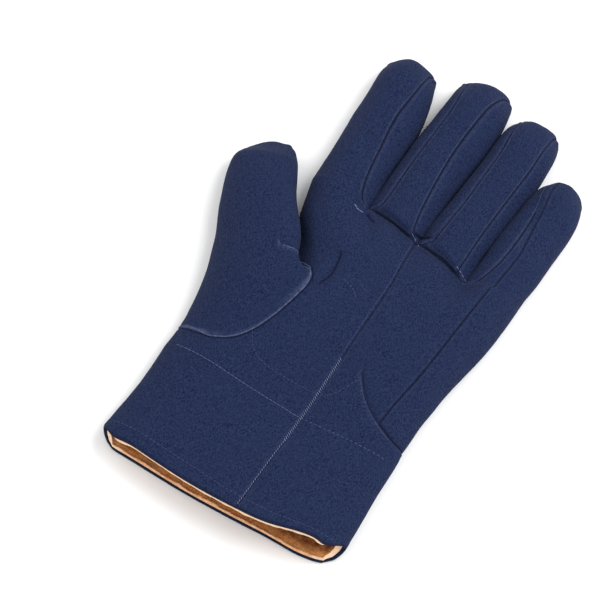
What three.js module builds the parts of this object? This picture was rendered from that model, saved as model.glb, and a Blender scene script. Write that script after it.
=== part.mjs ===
// A lined denim work glove for the left hand, lying on its back with the palm up.
// Millimetres. +Y runs from the cuff to the fingertips, +X from the thumb to the little finger, +Z is up.
// The cloth is first laid out as one net of four-sided cells over the whole hand.
// Every sewn panel is then a set of cells, thickened inwards to a wall with its own closed edges.
import * as THREE from 'three';

const { lerp, clamp } = THREE.MathUtils;

// Driving dimensions.
const DENIM = 1.8;             // thickness of the outer cloth
const FLEECE = 1.6;            // thickness of the lining
const SEAM = 0.4;              // gap between two pieces at a seam, and between denim and lining
const LINING_INSET = 0.8;      // how far the lining stays back from the cuff's edge
const LINING_ROWS = 6;         // rows of cells that the lining covers, up to the wrist stitching
const SHARPEST_BEND = 0.6;     // limits how far a wall's inner side reaches at a sharp bend
const LONGEST_PULL = 0.2;      // limits how far a corner between two seams is pulled back
const EVEN_DIAGONALS = 0.01;   // the first diagonal is cut unless the other is this much shorter
const LEAST_SLOPE = 0.05;      // keeps the round of a shoulder finite where a row ends at its top
const PALM_Y = 120;            // from the cuff's edge to the origin, under the middle of the palm
const WAIST = 8;               // height at which the hand is widest
const HEEL_ROUND = 7;          // how far the flat underside stays in from the widest line
const TOP_INSET = { left: 7, right: 6 };  // how far the ends of the palm's rows stay in from it

// The cuff's edge from the thumb side to the other: how far in the back's lip and the palm's lip lie.
const LIP = [
  { x: -68, back: 6, palm: 6.2 },
  { x: -58, back: 4.6, palm: 5.9 },
  { x: -50, back: 4.2, palm: 5.4 },
  { x: -34, back: 3.2, palm: 3.5 },
  { x: -15, back: 2.1, palm: 1.6 },
  { x: 6, back: 2, palm: 0.8 },
  { x: 28, back: 2.2, palm: 1.6 },
  { x: 48, back: 2, palm: 6.2 },
  { x: 60, back: 4.6, palm: 7.6 },
  { x: 67, back: 8, palm: 8.2 },
];
const LIP_FADE = 40;           // how far up the hand the lips' shape is felt

// Cells round the hand: across each finger's top, down each side, and along the thumb's seam.
const TOP = 4;
const SIDE = 4;
const THUMB_TOP = 6;

// Sections across the hand, from the cuff to the knuckles: outline, height, the reach of both shoulders,
// and how much higher the palm stands on the little finger's side of the middle.
const HAND = [
  { y: 0, left: -66.5, right: 66.4, crown: 20, shoulderLeft: 30, shoulderRight: 20, lift: 4 },
  { y: 30, left: -64, right: 66, crown: 19, shoulderLeft: 30, shoulderRight: 24, lift: 2 },
  { y: 60, left: -63, right: 66, crown: 19, shoulderLeft: 30, shoulderRight: 26, lift: 0 },
  { y: 80, left: -63, right: 65.5, crown: 21, shoulderLeft: 30, shoulderRight: 28, lift: 0 },
  { y: 105, left: -56, right: 68.5, crown: 24, shoulderLeft: 28, shoulderRight: 28, lift: 0 },
  { y: 131, left: -33, right: 73.2, crown: 25, shoulderLeft: 30, shoulderRight: 28, lift: 0 },
  { y: 141, left: -33.5, right: 75, crown: 25, shoulderLeft: 30, shoulderRight: 27, lift: 0 },
  { y: 155, left: -41, right: 76.6, crown: 24.3, shoulderLeft: 26, shoulderRight: 24, lift: 0 },
  { y: 178, left: -47, right: 78, crown: 22.5, shoulderLeft: 18, shoulderRight: 18, lift: 0 },
];
const LIFT_START = 0.3;        // share of the hand's width at which that height begins

// Rows of cells along the hand below the knuckles, and from there as shares of the way to the crotches.
const ROWS = [0, 6, 18, 31, 44, 55, 65, 73.4, 85, 95, 104, 113, 122, 131];
const KNUCKLE_ROWS = [0.26, 0.49, 0.7, 0.87, 1];
const THUMB_FIRST = 7;         // row where the thumb's seam leaves the edge of the hand
const THUMB_LAST = THUMB_FIRST + THUMB_TOP;
const HEEL_ROW = 7;            // row where the little-finger side seam turns out to the edge

// The thumb's seam on the palm, one point for each row from where it leaves the edge to the crotch.
const THUMB_SEAM = [
  { x: -43.5, y: 73 },
  { x: -34.5, y: 77 },
  { x: -27.5, y: 84.5 },
  { x: -22, y: 95 },
  { x: -17.8, y: 107.5 },
  { x: -15, y: 120.5 },
  { x: -18.5, y: 129 },
];

// The long seam down the middle of the palm, and the side seam that shows beside the little finger.
const CENTRE_SEAM = [
  { y: 0, x: 13.5 },
  { y: 57, x: 16.3 },
  { y: 105, x: 18.8 },
  { y: 143, x: 19.8 },
  { y: 172, x: 17 },
];
const SIDE_SEAM = [
  { y: 0, x: 50 },
  { y: 73.4, x: 50.4 },
  { y: 107, x: 56 },
  { y: 143, x: 60.2 },
  { y: 173, x: 63.4 },
];
const HEEL_DROP = 3.4;         // how far the heel seam falls from the side seam to the edge

// Where the fingers part, from the index finger's outer edge to the little finger's.
const CROTCHES = [
  { x: -40.5, y: 178, z: 0 },
  { x: -13, y: 173, z: 17 },
  { x: 18.9, y: 170.3, z: 17 },
  { x: 48.4, y: 163, z: 16 },
  { x: 71, y: 165, z: 0 },
];
const VALLEY_REACH = 20;       // how far down the palm the hollows between the knuckles run
const PARTING_REACH = 40;      // way over which the palm's cells turn from even spacing to the partings
const PARTING_HOLLOW = 2;      // how far the cloth between two fingers curves back into the hand
const FOLD_TILT = Math.PI / 3; // slope of the cloth at the top and foot of that fold
const CROSS_SEAM_DIP = 3.6;    // how deep the seam across the two middle knuckles lies
const CROSS_SEAM_REACH = 7;    // how far below that seam the palm begins to fall towards it

// Fingers: height; both edges along the way from crotch to tip; where the seams on top run, as shares of
// the half width, of which the middle one is only sewn on the little finger; and five points of the seam
// across the tip, from its left corner to its right one.
const FINGERS = [
  {
    name: 'index',
    height: 22,
    edges: [
      { s: 0, left: -46, right: -13.7 },
      { s: 0.3, left: -46.6, right: -13.6 },
      { s: 0.55, left: -47.6, right: -13.1 },
      { s: 0.75, left: -47.6, right: -15.1 },
      { s: 0.9, left: -48.8, right: -18.4 },
      { s: 1, left: -48.4, right: -21.2 },
    ],
    seams: [
      { s: 0, left: -0.6, middle: 0.1, right: 0.78 },
      { s: 0.13, left: -0.5, middle: 0.03, right: 0.56 },
      { s: 0.34, left: -0.5, middle: -0.04, right: 0.42 },
      { s: 0.56, left: -0.5, middle: -0.1, right: 0.3 },
      { s: 0.8, left: -0.6, middle: -0.03, right: 0.52 },
      { s: 1, left: -0.8, middle: 0, right: 0.8 },
    ],
    tip: [
      { x: -48.4, y: 259.4 },
      { x: -41.6, y: 265.4 },
      { x: -34.5, y: 267 },
      { x: -27.6, y: 265.6 },
      { x: -20.7, y: 262 },
    ],
  },
  {
    name: 'middle',
    height: 22.5,
    edges: [
      { s: 0, left: -12.8, right: 18.5 },
      { s: 0.3, left: -13, right: 19 },
      { s: 0.58, left: -11.6, right: 21.7 },
      { s: 0.75, left: -9.8, right: 22.5 },
      { s: 0.9, left: -9.3, right: 21.4 },
      { s: 1, left: -8.9, right: 19.4 },
    ],
    seams: [
      { s: 0, left: -0.65, middle: 0.05, right: 0.75 },
      { s: 0.12, left: -0.57, middle: 0, right: 0.59 },
      { s: 0.31, left: -0.53, middle: -0.03, right: 0.47 },
      { s: 0.53, left: -0.54, middle: -0.1, right: 0.33 },
      { s: 0.77, left: -0.6, middle: -0.12, right: 0.35 },
      { s: 0.88, left: -0.7, middle: -0.1, right: 0.5 },
      { s: 1, left: -0.8, middle: 0, right: 0.78 },
    ],
    tip: [
      { x: -8.9, y: 268.2 },
      { x: -2.5, y: 271.6 },
      { x: 5.2, y: 273.4 },
      { x: 13, y: 272.9 },
      { x: 19.6, y: 268.2 },
    ],
  },
  {
    name: 'ring',
    height: 22,
    edges: [
      { s: 0, left: 19.3, right: 47.7 },
      { s: 0.25, left: 19.3, right: 48.9 },
      { s: 0.5, left: 21.3, right: 51.2 },
      { s: 0.7, left: 23.1, right: 53.5 },
      { s: 0.86, left: 23.8, right: 53.2 },
      { s: 0.93, left: 25, right: 52.2 },
      { s: 1, left: 27.2, right: 50 },
    ],
    seams: [
      { s: 0, left: -0.65, middle: 0.05, right: 0.7 },
      { s: 0.11, left: -0.54, middle: 0.08, right: 0.69 },
      { s: 0.27, left: -0.43, middle: 0.12, right: 0.68 },
      { s: 0.5, left: -0.47, middle: 0.1, right: 0.66 },
      { s: 0.76, left: -0.59, middle: 0.02, right: 0.63 },
      { s: 0.9, left: -0.7, middle: 0, right: 0.68 },
      { s: 1, left: -0.8, middle: 0, right: 0.8 },
    ],
    tip: [
      { x: 27.2, y: 262.8 },
      { x: 32.3, y: 265.4 },
      { x: 38, y: 265.5 },
      { x: 44, y: 265.2 },
      { x: 50, y: 261.4 },
    ],
  },
  {
    name: 'little',
    height: 20,
    edges: [
      { s: 0, left: 48.7, right: 77.2 },
      { s: 0.3, left: 49.4, right: 79.5 },
      { s: 0.55, left: 51, right: 80.4 },
      { s: 0.75, left: 52.7, right: 81.2 },
      { s: 0.88, left: 54, right: 80 },
      { s: 0.96, left: 56.2, right: 78.2 },
      { s: 1, left: 57.8, right: 76.9 },
    ],
    seams: [
      { s: 0, left: -0.7, middle: 0, right: 0.6 },
      { s: 0.15, left: -0.39, middle: 0.04, right: 0.55 },
      { s: 0.3, left: -0.27, middle: 0.09, right: 0.5 },
      { s: 0.5, left: -0.28, middle: -0.05, right: 0.5 },
      { s: 0.67, left: -0.38, middle: -0.18, right: 0.5 },
      { s: 0.8, left: -0.56, middle: -0.34, right: 0.5 },
      { s: 1, left: -0.8, middle: -0.45, right: 0.6 },
    ],
    tip: [
      { x: 57.8, y: 238.4 },
      { x: 62, y: 241.4 },
      { x: 67, y: 242 },
      { x: 72.2, y: 239.8 },
      { x: 76.9, y: 235 },
    ],
  },
];
const FINGER_STEPS = [0.09, 0.19, 0.31, 0.44, 0.57, 0.7, 0.82, 0.91, 0.965];
const FINGER_ROOT = 0.3;       // share of the way over which the knuckle's shape turns into the finger's
const FINGER_WAIST = 0.42;     // height at which a finger is widest, as a share of its own
const SEAM_ROOT = 0.04;        // share of the way over which the seams on top part from the crotch
const FLAT_HALF = 16;          // half width from which a finger's underside is rounded as the palm's is
const TAPER_START = 0.72;      // share of the way at which the tip begins
const TAPER_POWER = 2.5;       // how suddenly the tip thins towards its end
const TIP_THINNING = 0.54;     // share of its height that a finger loses on the way to its tip
const TIP_LOW = 0.31;          // height of the tip's seam, as a share of the finger's

// The thumb: left and right edges and thickness at each section, from its seam to its tip, and the corner
// of its underside, which stays clear of the palm: 1 at the right edge, 0 in the middle.
const THUMB = [
  { xl: -63.5, yl: 91, zl: 8, xr: -26, yr: 131.5, zr: 25, thick: 22, corner: -0.3 },
  { xl: -66, yl: 106, zl: 9, xr: -31, yr: 141, zr: 23, thick: 22, corner: -0.2 },
  { xl: -71, yl: 122, zl: 9.5, xr: -37.5, yr: 150, zr: 21, thick: 21.5, corner: 0 },
  { xl: -77.5, yl: 137, zl: 10, xr: -43.5, yr: 158, zr: 19, thick: 21, corner: 0.4 },
  { xl: -82.5, yl: 150, zl: 10, xr: -49, yr: 166.5, zr: 16.5, thick: 20.5, corner: 0.6 },
  { xl: -86.5, yl: 162, zl: 9.5, xr: -53, yr: 174.5, zr: 14, thick: 19, corner: 0.6 },
  { xl: -88, yl: 171, zl: 9, xr: -56.5, yr: 181, zr: 12, thick: 16.5, corner: 0.6 },
  { xl: -86.8, yl: 175.2, zl: 8.5, xr: -59.5, yr: 185, zr: 10.5, thick: 12, corner: 0.6 },
];
const THUMB_TIP = { xl: -85.3, yl: 177.5, xm: -76.6, ym: 188.2, xr: -64.4, yr: 190, z: 8.5 };
const THUMB_BLEND = 3;         // sections over which the seam's shape turns into a round tube
const THUMB_SHOULDER = 0.8;    // share of the half width that the thumb's upper cells cover
const THUMB_RISE = 0.52;       // share of the thickness that lies above the edges

// Colours of the pieces.
const NAVY = new THREE.MeshStandardMaterial({ color: 0x28325a, roughness: 0.95, metalness: 0 });
const TAN = new THREE.MeshStandardMaterial({ color: 0xd69a62, roughness: 1, metalness: 0 });

const ease = (t) => t * t * (3 - 2 * t);

// A smooth curve through a table: the value of one column where the key column is at.
function along(table, at, column, key = 'y') {
  const last = table.length - 1;
  const t = clamp(at, table[0][key], table[last][key]);
  let i = 0;
  while (i < last - 1 && t > table[i + 1][key]) i += 1;
  const slope = (k) => {
    const before = table[Math.max(k - 1, 0)];
    const after = table[Math.min(k + 1, last)];
    return (after[column] - before[column]) / (after[key] - before[key]);
  };
  const width = table[i + 1][key] - table[i][key];
  const s = (t - table[i][key]) / width;
  return (1 + 2 * s) * (1 - s) ** 2 * table[i][column] + s * (1 - s) ** 2 * width * slope(i)
    + s * s * (3 - 2 * s) * table[i + 1][column] - s * s * (1 - s) * width * slope(i + 1);
}

// The round of a shoulder: 0 at the hand's edge and 1 where the palm is level.
function shoulder(distance, reach) {
  const s = clamp(distance / reach, 0, 1);
  return Math.sqrt(1 - (1 - s) ** 2);
}

// Height of the palm's upper surface, before the hollows between the knuckles.
function palmHeight(x, y) {
  const left = along(HAND, y, 'left');
  const right = along(HAND, y, 'right');
  const share = clamp((x - left) / (right - left), 0, 1);
  const rise = Math.sin(Math.PI * share) * 2 * (share - LIFT_START);
  const crown = along(HAND, y, 'crown') + along(HAND, y, 'lift') * rise;
  const round = shoulder(x - left, along(HAND, y, 'shoulderLeft'))
    * shoulder(right - x, along(HAND, y, 'shoulderRight'));
  return WAIST + (crown - WAIST) * round;
}

// The net: points, and cells of four points that each carry the name of the piece they belong to.
const points = [];
const cells = [];

function point(x, y, z) {
  return points.push(new THREE.Vector3(x, y, z)) - 1;
}

// Cells between two rows of points; pieceOf names the piece of each cell.
function strip(lower, upper, pieceOf, row = Infinity) {
  for (let i = 0; i + 1 < lower.length; i += 1) {
    cells.push({ corners: [lower[i], lower[i + 1], upper[i + 1], upper[i]], piece: pieceOf(i), row });
  }
}

// Points down one side of the hand, from a point on top to the edge of the flat underside, ends left out.
function sidePoints(y, top, towards) {
  const edge = along(HAND, y, towards < 0 ? 'left' : 'right');
  const reach = along(HAND, y, towards < 0 ? 'shoulderLeft' : 'shoulderRight');
  const crown = Math.max(top.z, WAIST + 1);
  const inset = clamp(Math.abs(edge - top.x) / reach, 0, 1);
  const first = Math.acos(1 - inset);
  const rise = (crown - WAIST) / Math.max(Math.sin(first), LEAST_SLOPE);
  const made = [];
  for (let k = 1; k < SIDE; k += 1) {
    const angle = lerp(first, -Math.PI / 2, k / SIDE);
    const inwards = (angle > 0 ? reach : HEEL_ROUND) * (1 - Math.cos(angle));
    const height = angle > 0 ? WAIST + rise * Math.sin(angle) : WAIST * (1 + Math.sin(angle));
    made.push(point(edge - towards * inwards, lerp(top.y, y, k / SIDE), height));
  }
  return made;
}

// How far a point near the cuff moves in to follow the lip on its side.
function lipShift(x, y, lip) {
  return clamp(1 - y / LIP_FADE, 0, 1) * along(LIP, x, lip, 'x');
}

const COLUMNS = 4 * TOP;
const CENTRE = 2 * TOP;                    // column of the seam down the palm
const SLIVER = 3 * TOP + 2;                // column of the side seam beside the little finger
const CROTCH_ROW = ROWS.length + KNUCKLE_ROWS.length - 1;

// Share of a hollow at a column: 1 where two fingers part, 0 on a finger's middle and on the outer edges.
function hollow(column) {
  if (column <= TOP / 2 || column >= COLUMNS - TOP / 2) return 0;
  return Math.cos(Math.PI * column / TOP) ** 2;
}

// Nominal y of a row at a column, following the crotches above the thumb.
function rowY(row, column) {
  if (row < ROWS.length) return ROWS[row];
  const finger = Math.min(Math.floor(column / TOP), FINGERS.length - 1);
  const end = lerp(CROTCHES[finger].y, CROTCHES[finger + 1].y, column / TOP - finger);
  return lerp(ROWS[ROWS.length - 1], end, KNUCKLE_ROWS[row - ROWS.length]);
}

// Left end of a row on top of the hand: beside the edge, or on the thumb's seam.
function leftEnd(row) {
  const y = rowY(row, 0);
  const seam = THUMB_SEAM[row - THUMB_FIRST];
  if (seam) return { x: seam.x, y: seam.y };
  return { x: along(HAND, y, 'left') + TOP_INSET.left, y };
}

// Top of the hand between the left end, the centre seam, the side seam and the right end of a row.
function topPoint(row, column) {
  const left = leftEnd(row);
  const y = rowY(row, column);
  const centre = along(CENTRE_SEAM, y, 'x');
  const side = along(SIDE_SEAM, y, 'x');
  const right = along(HAND, y, 'right') - TOP_INSET.right;
  const knuckle = clamp((y - ROWS[THUMB_LAST]) / PARTING_REACH, 0, 1);
  let x;
  let rowHeight = y;
  if (column <= CENTRE) {
    const share = column / CENTRE;
    const parted = share < 0.5
      ? lerp(left.x, CROTCHES[1].x, 2 * share)
      : lerp(CROTCHES[1].x, centre, 2 * share - 1);
    x = lerp(lerp(left.x, centre, share), parted, knuckle);
    rowHeight = lerp(left.y, y, ease(share));
  } else if (column <= SLIVER) {
    const share = (column - CENTRE) / (SLIVER - CENTRE);
    const parted = column < 3 * TOP
      ? lerp(centre, CROTCHES[3].x, (column - CENTRE) / TOP)
      : lerp(CROTCHES[3].x, side, (column - 3 * TOP) / (SLIVER - 3 * TOP));
    x = lerp(lerp(centre, side, share), parted, knuckle);
  } else {
    const share = (column - SLIVER) / (COLUMNS - SLIVER);
    x = lerp(side, right, share);
  }
  if (row === HEEL_ROW && column > SLIVER) {
    rowHeight -= HEEL_DROP * (column - SLIVER) / (COLUMNS - SLIVER);
  }
  const toCrotch = rowY(CROTCH_ROW, column) - y;
  const depth = ease(clamp(1 - toCrotch / VALLEY_REACH, 0, 1));
  const finger = clamp(Math.round(column / TOP), 1, 3);
  const crossed = column >= TOP && column <= 3 * TOP ? CROSS_SEAM_DIP : 0;
  const dip = crossed * clamp(1 - toCrotch / CROSS_SEAM_REACH, 0, 1);
  const level = palmHeight(x, rowHeight);
  const z = lerp(level, CROTCHES[finger].z, hollow(column) * depth) - dip * (1 - hollow(column));
  return point(x, rowHeight + lipShift(x, y, 'palm'), z);
}

// The flat underside, column by column from right to left.
function bottomPoint(row, column) {
  const y = rowY(row, column);
  const left = along(HAND, y, 'left') + HEEL_ROUND;
  const right = along(HAND, y, 'right') - HEEL_ROUND;
  const finger = Math.min(Math.floor(column / TOP), FINGERS.length - 1);
  const parted = [left, CROTCHES[1].x, CROTCHES[2].x, CROTCHES[3].x, right];
  const x = lerp(
    lerp(left, right, column / COLUMNS),
    lerp(parted[finger], parted[finger + 1], column / TOP - finger),
    ease(y / CROTCHES[0].y),
  );
  return point(x, y + lipShift(x, y, 'back'), 0);
}

// Piece of a cell of the hand, by its row and its place round the hand.
const RIGHT_SIDE = COLUMNS + SIDE;
const UNDERSIDE = RIGHT_SIDE + COLUMNS;
function handPiece(row, place) {
  if (place < CENTRE) return 'palm_index_side';
  if (place < SLIVER) return 'palm_little_side';
  if (place < RIGHT_SIDE) return row < HEEL_ROW ? 'palm_little_side' : 'back';
  if (place < UNDERSIDE) return 'back';
  return 'palm_index_side';
}

const hand = [];
function layHand() {
  for (let row = 0; row <= CROTCH_ROW; row += 1) {
    const top = [];
    const bottom = [];
    for (let column = 0; column <= COLUMNS; column += 1) top.push(topPoint(row, column));
    for (let column = COLUMNS; column >= 0; column -= 1) bottom.push(bottomPoint(row, column));
    const drop = row === HEEL_ROW ? HEEL_DROP : 0;
    const right = sidePoints(rowY(row, COLUMNS) - drop, points[top[COLUMNS]], 1);
    const isHole = row > THUMB_FIRST && row < THUMB_LAST;
    const left = isHole ? [] : sidePoints(rowY(row, 0), points[top[0]], -1).reverse();
    for (const id of [...right, ...left]) {
      points[id].y += lipShift(points[id].x, rowY(row, 0), 'back');
    }
    hand.push({ top, right, bottom, left });
  }
  for (let row = 0; row < CROTCH_ROW; row += 1) {
    const [a, b] = [hand[row], hand[row + 1]];
    const open = (r) => [...r.top, ...r.right, ...r.bottom];
    strip(open(a), open(b), (place) => handPiece(row, place), row);
    const hasSide = row < THUMB_FIRST || row >= THUMB_LAST;
    if (hasSide) {
      const close = (r) => [r.bottom[COLUMNS], ...r.left, r.top[0]];
      strip(close(a), close(b), () => 'palm_index_side', row);
    }
  }
}

// One section of a finger: heights and distances from its middle line, as a ring of [x, z].
function fingerRing(half, height, { left, middle, right }) {
  const flat = half - HEEL_ROUND * Math.min(1, half / FLAT_HALF);
  const waist = height * FINGER_WAIST;
  const shares = [left, (left + middle) / 2, middle, (middle + right) / 2, right];
  const top = shares.map((share) => [half * share, waist + (height - waist) * Math.sqrt(1 - share ** 2)]);
  const side = (seam) => {
    const made = [];
    for (let k = 1; k < SIDE; k += 1) {
      const angle = lerp(Math.acos(seam), -Math.PI / 2, k / SIDE);
      const x = angle > 0 ? half * Math.cos(angle) : flat + (half - flat) * Math.cos(angle);
      made.push([x, angle > 0 ? waist + (height - waist) * Math.sin(angle) : waist * (1 + Math.sin(angle))]);
    }
    return made;
  };
  const under = [];
  for (let k = 0; k <= TOP; k += 1) under.push([lerp(flat, -flat, k / TOP), 0]);
  return [...top, ...side(right), ...under, ...side(-left).map(([x, z]) => [-x, z]).reverse()];
}

// Piece of a cell of a finger, by its place round the ring.
function fingerPiece(index, place) {
  const finger = FINGERS[index];
  const isTop = place < TOP;
  const isRight = place >= TOP && place < TOP + SIDE;
  const isLeft = place >= 2 * TOP + SIDE;
  if (finger.name === 'index' && (isTop || isLeft)) return 'palm_index_side';
  if (finger.name === 'little' && isTop && place < 2) return 'palm_little_side';
  if (finger.name === 'little' && (isTop || isRight)) return 'back';
  if (isTop) return `${finger.name}_finger_front`;
  if (isRight) return `fourchette_${finger.name}_${FINGERS[index + 1].name}`;
  if (isLeft) return `fourchette_${FINGERS[index - 1].name}_${finger.name}`;
  return 'back';
}

// The wall of cloth where two fingers part, as points from its top to its foot.
// The cloth is folded there, so the way out of it is set: up at the head, then level, down at the foot.
const partings = [];
const foldNormals = new Map();
function setFoldNormal(id, share) {
  const angle = lerp(FOLD_TILT, -FOLD_TILT, share);
  foldNormals.set(id, new THREE.Vector3(0, Math.cos(angle), Math.sin(angle)));
}

function layPartings() {
  const row = hand[CROTCH_ROW];
  for (let finger = 0; finger + 1 < FINGERS.length; finger += 1) {
    const column = (finger + 1) * TOP;
    const head = points[row.top[column]];
    const foot = points[row.bottom[COLUMNS - column]];
    const made = [];
    for (let k = 1; k < SIDE; k += 1) {
      const p = head.clone().lerp(foot, k / SIDE);
      made.push(point(p.x, p.y - PARTING_HOLLOW * Math.sin(Math.PI * k / SIDE), p.z));
    }
    partings.push(made);
    const fold = [row.top[column], ...made, row.bottom[COLUMNS - column]];
    fold.forEach((id, k) => setFoldNormal(id, k / SIDE));
  }
}

function layFinger(index) {
  const finger = FINGERS[index];
  const row = hand[CROTCH_ROW];
  const first = index * TOP;
  const base = [
    ...row.top.slice(first, first + TOP + 1),
    ...(index === FINGERS.length - 1 ? row.right : partings[index]),
    ...row.bottom.slice(COLUMNS - first - TOP, COLUMNS - first + 1),
    ...(index === 0 ? row.left : [...partings[index - 1]].reverse()),
  ];
  let lower = base;
  for (const step of FINGER_STEPS) {
    const [from, to] = ['left', 'right'].map((edge) => along(finger.edges, step, edge, 's'));
    const seams = {};
    for (const seam of ['left', 'middle', 'right']) seams[seam] = along(finger.seams, step, seam, 's');
    const axis = (from + to) / 2;
    const half = (to - from) / 2;
    const taper = clamp((step - TAPER_START) / (1 - TAPER_START), 0, 1);
    const height = finger.height * (1 - TIP_THINNING * taper ** TAPER_POWER);
    const opening = ease(clamp(step / FINGER_ROOT, 0, 1));
    const seamOpening = 1 - (1 - clamp(step / SEAM_ROOT, 0, 1)) ** 2;
    const upper = fingerRing(half, height, seams).map(([x, z], place) => {
      const start = points[base[place]];
      const share = place <= TOP ? Math.max(opening, seamOpening) : opening;
      const y = lerp(start.y, tipY(finger, x / half), step);
      return point(lerp(start.x, axis + x, share), y, lerp(start.z, z, share));
    });
    strip([...lower, lower[0]], [...upper, upper[0]], (place) => fingerPiece(index, place));
    lower = upper;
  }
  closeTip(lower, TOP, (share) => {
    const { x, y } = finger.tip[Math.round(share * TOP)];
    return point(x, y, finger.height * TIP_LOW);
  }, (place) => fingerPiece(index, place));
}

// How far a finger reaches, from -1 at its left edge to 1 at its right edge.
function tipY(finger, across) {
  const at = (across + 1) / 2 * TOP;
  const k = clamp(Math.floor(at), 0, TOP - 1);
  return lerp(finger.tip[k].y, finger.tip[k + 1].y, at - k);
}

// Closes a tube at a seam across its tip: top and bottom cells share the seam's points.
function closeTip(ring, across, seamPoint, pieceOf) {
  const seam = [];
  for (let k = 0; k <= across; k += 1) seam.push(seamPoint(k / across));
  const upper = [
    ...seam,
    ...Array(SIDE - 1).fill(seam[across]),
    ...[...seam].reverse(),
    ...Array(SIDE - 1).fill(seam[0]),
  ];
  strip([...ring, ring[0]], [...upper, upper[0]], pieceOf);
}

// One section of the thumb between its left and right edges, with its underside kept off the table.
function thumbRing({ xl, yl, zl, xr, yr, zr, thick, corner }) {
  const leftCorner = 1 - 2 * HEEL_ROUND / Math.hypot(xr - xl, yr - yl);
  const spot = (across, rise) => {
    const share = (across + 1) / 2;
    const z = lerp(zl, zr, share) + rise * thick;
    return [lerp(xl, xr, share), lerp(yl, yr, share), Math.max(z, 0)];
  };
  const top = [];
  for (let k = 0; k <= THUMB_TOP; k += 1) {
    const across = lerp(-THUMB_SHOULDER, THUMB_SHOULDER, k / THUMB_TOP);
    top.push(spot(across, THUMB_RISE * Math.sqrt(1 - across ** 2)));
  }
  const side = (sign, inner) => {
    const made = [];
    for (let k = 1; k < SIDE; k += 1) {
      const angle = lerp(Math.acos(THUMB_SHOULDER), -Math.PI / 2, k / SIDE);
      made.push(angle > 0
        ? spot(sign * Math.cos(angle), THUMB_RISE * Math.sin(angle))
        : spot(sign * lerp(inner, 1, Math.cos(angle)), (1 - THUMB_RISE) * Math.sin(angle)));
    }
    return made;
  };
  const bottom = [];
  for (let k = 0; k <= THUMB_TOP; k += 1) {
    bottom.push(spot(lerp(corner, -leftCorner, k / THUMB_TOP), THUMB_RISE - 1));
  }
  return [...top, ...side(1, corner), ...bottom, ...side(-1, leftCorner).reverse()];
}

function layThumb() {
  const rows = hand.slice(THUMB_FIRST, THUMB_LAST + 1);
  const base = [
    ...rows.map((r) => r.top[0]),
    ...[...hand[THUMB_LAST].left].reverse(),
    ...rows.map((r) => r.bottom[COLUMNS]).reverse(),
    ...hand[THUMB_FIRST].left,
  ];
  let lower = base;
  THUMB.forEach((section, step) => {
    const share = 1 - (1 - clamp((step + 1) / THUMB_BLEND, 0, 1)) ** 2;
    const upper = thumbRing(section).map(([x, y, z], place) => {
      const start = points[base[place]];
      return point(lerp(start.x, x, share), lerp(start.y, y, share), lerp(start.z, z, share));
    });
    strip([...lower, lower[0]], [...upper, upper[0]], () => 'thumb');
    lower = upper;
  });
  const { xl, yl, xm, ym, xr, yr, z } = THUMB_TIP;
  closeTip(lower, THUMB_TOP, (share) => {
    const bow = 4 * share * (1 - share);
    const middle = (a, m, b) => lerp(a, b, share) + bow * (m - (a + b) / 2);
    return point(middle(xl, xm, xr), middle(yl, ym, yr), z);
  }, () => 'thumb');
}

// Triangles of a cell, cut along its shorter diagonal, without the ones that a shared corner makes empty.
function triangles({ corners: [a, b, c, d] }) {
  const cutsAC = points[a].distanceTo(points[c]) < points[b].distanceTo(points[d]) + EVEN_DIAGONALS;
  const pair = cutsAC ? [[a, b, c], [a, c, d]] : [[a, b, d], [b, c, d]];
  return pair.filter(([p, q, r]) => p !== q && q !== r && r !== p);
}

function faceNormal([a, b, c]) {
  const edge = points[b].clone().sub(points[a]);
  return edge.cross(points[c].clone().sub(points[a]));
}

// Angle of a face at one of its corners.
function cornerAngle(face, k) {
  const [a, b, c] = [0, 1, 2].map((step) => points[face[(k + step) % 3]]);
  return b.clone().sub(a).angleTo(c.clone().sub(a));
}

// Direction out of the cloth at each point, and how much further a wall reaches at a bend.
function skinNormals() {
  const sums = points.map(() => new THREE.Vector3());
  const faces = cells.flatMap(triangles);
  for (const face of faces) {
    const normal = faceNormal(face).normalize();
    face.forEach((id, k) => sums[id].addScaledVector(normal, cornerAngle(face, k)));
  }
  sums.forEach((sum, id) => sum.copy(foldNormals.get(id) ?? sum.normalize()));
  const facing = points.map(() => [0, 0]);
  for (const face of faces) {
    const normal = faceNormal(face).normalize();
    face.forEach((id) => {
      facing[id][0] += normal.dot(sums[id]);
      facing[id][1] += 1;
    });
  }
  return sums.map((sum, id) => {
    const reach = foldNormals.has(id) ? 1 : 1 / Math.max(facing[id][0] / facing[id][1], SHARPEST_BEND);
    return sum.multiplyScalar(reach);
  });
}

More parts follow.
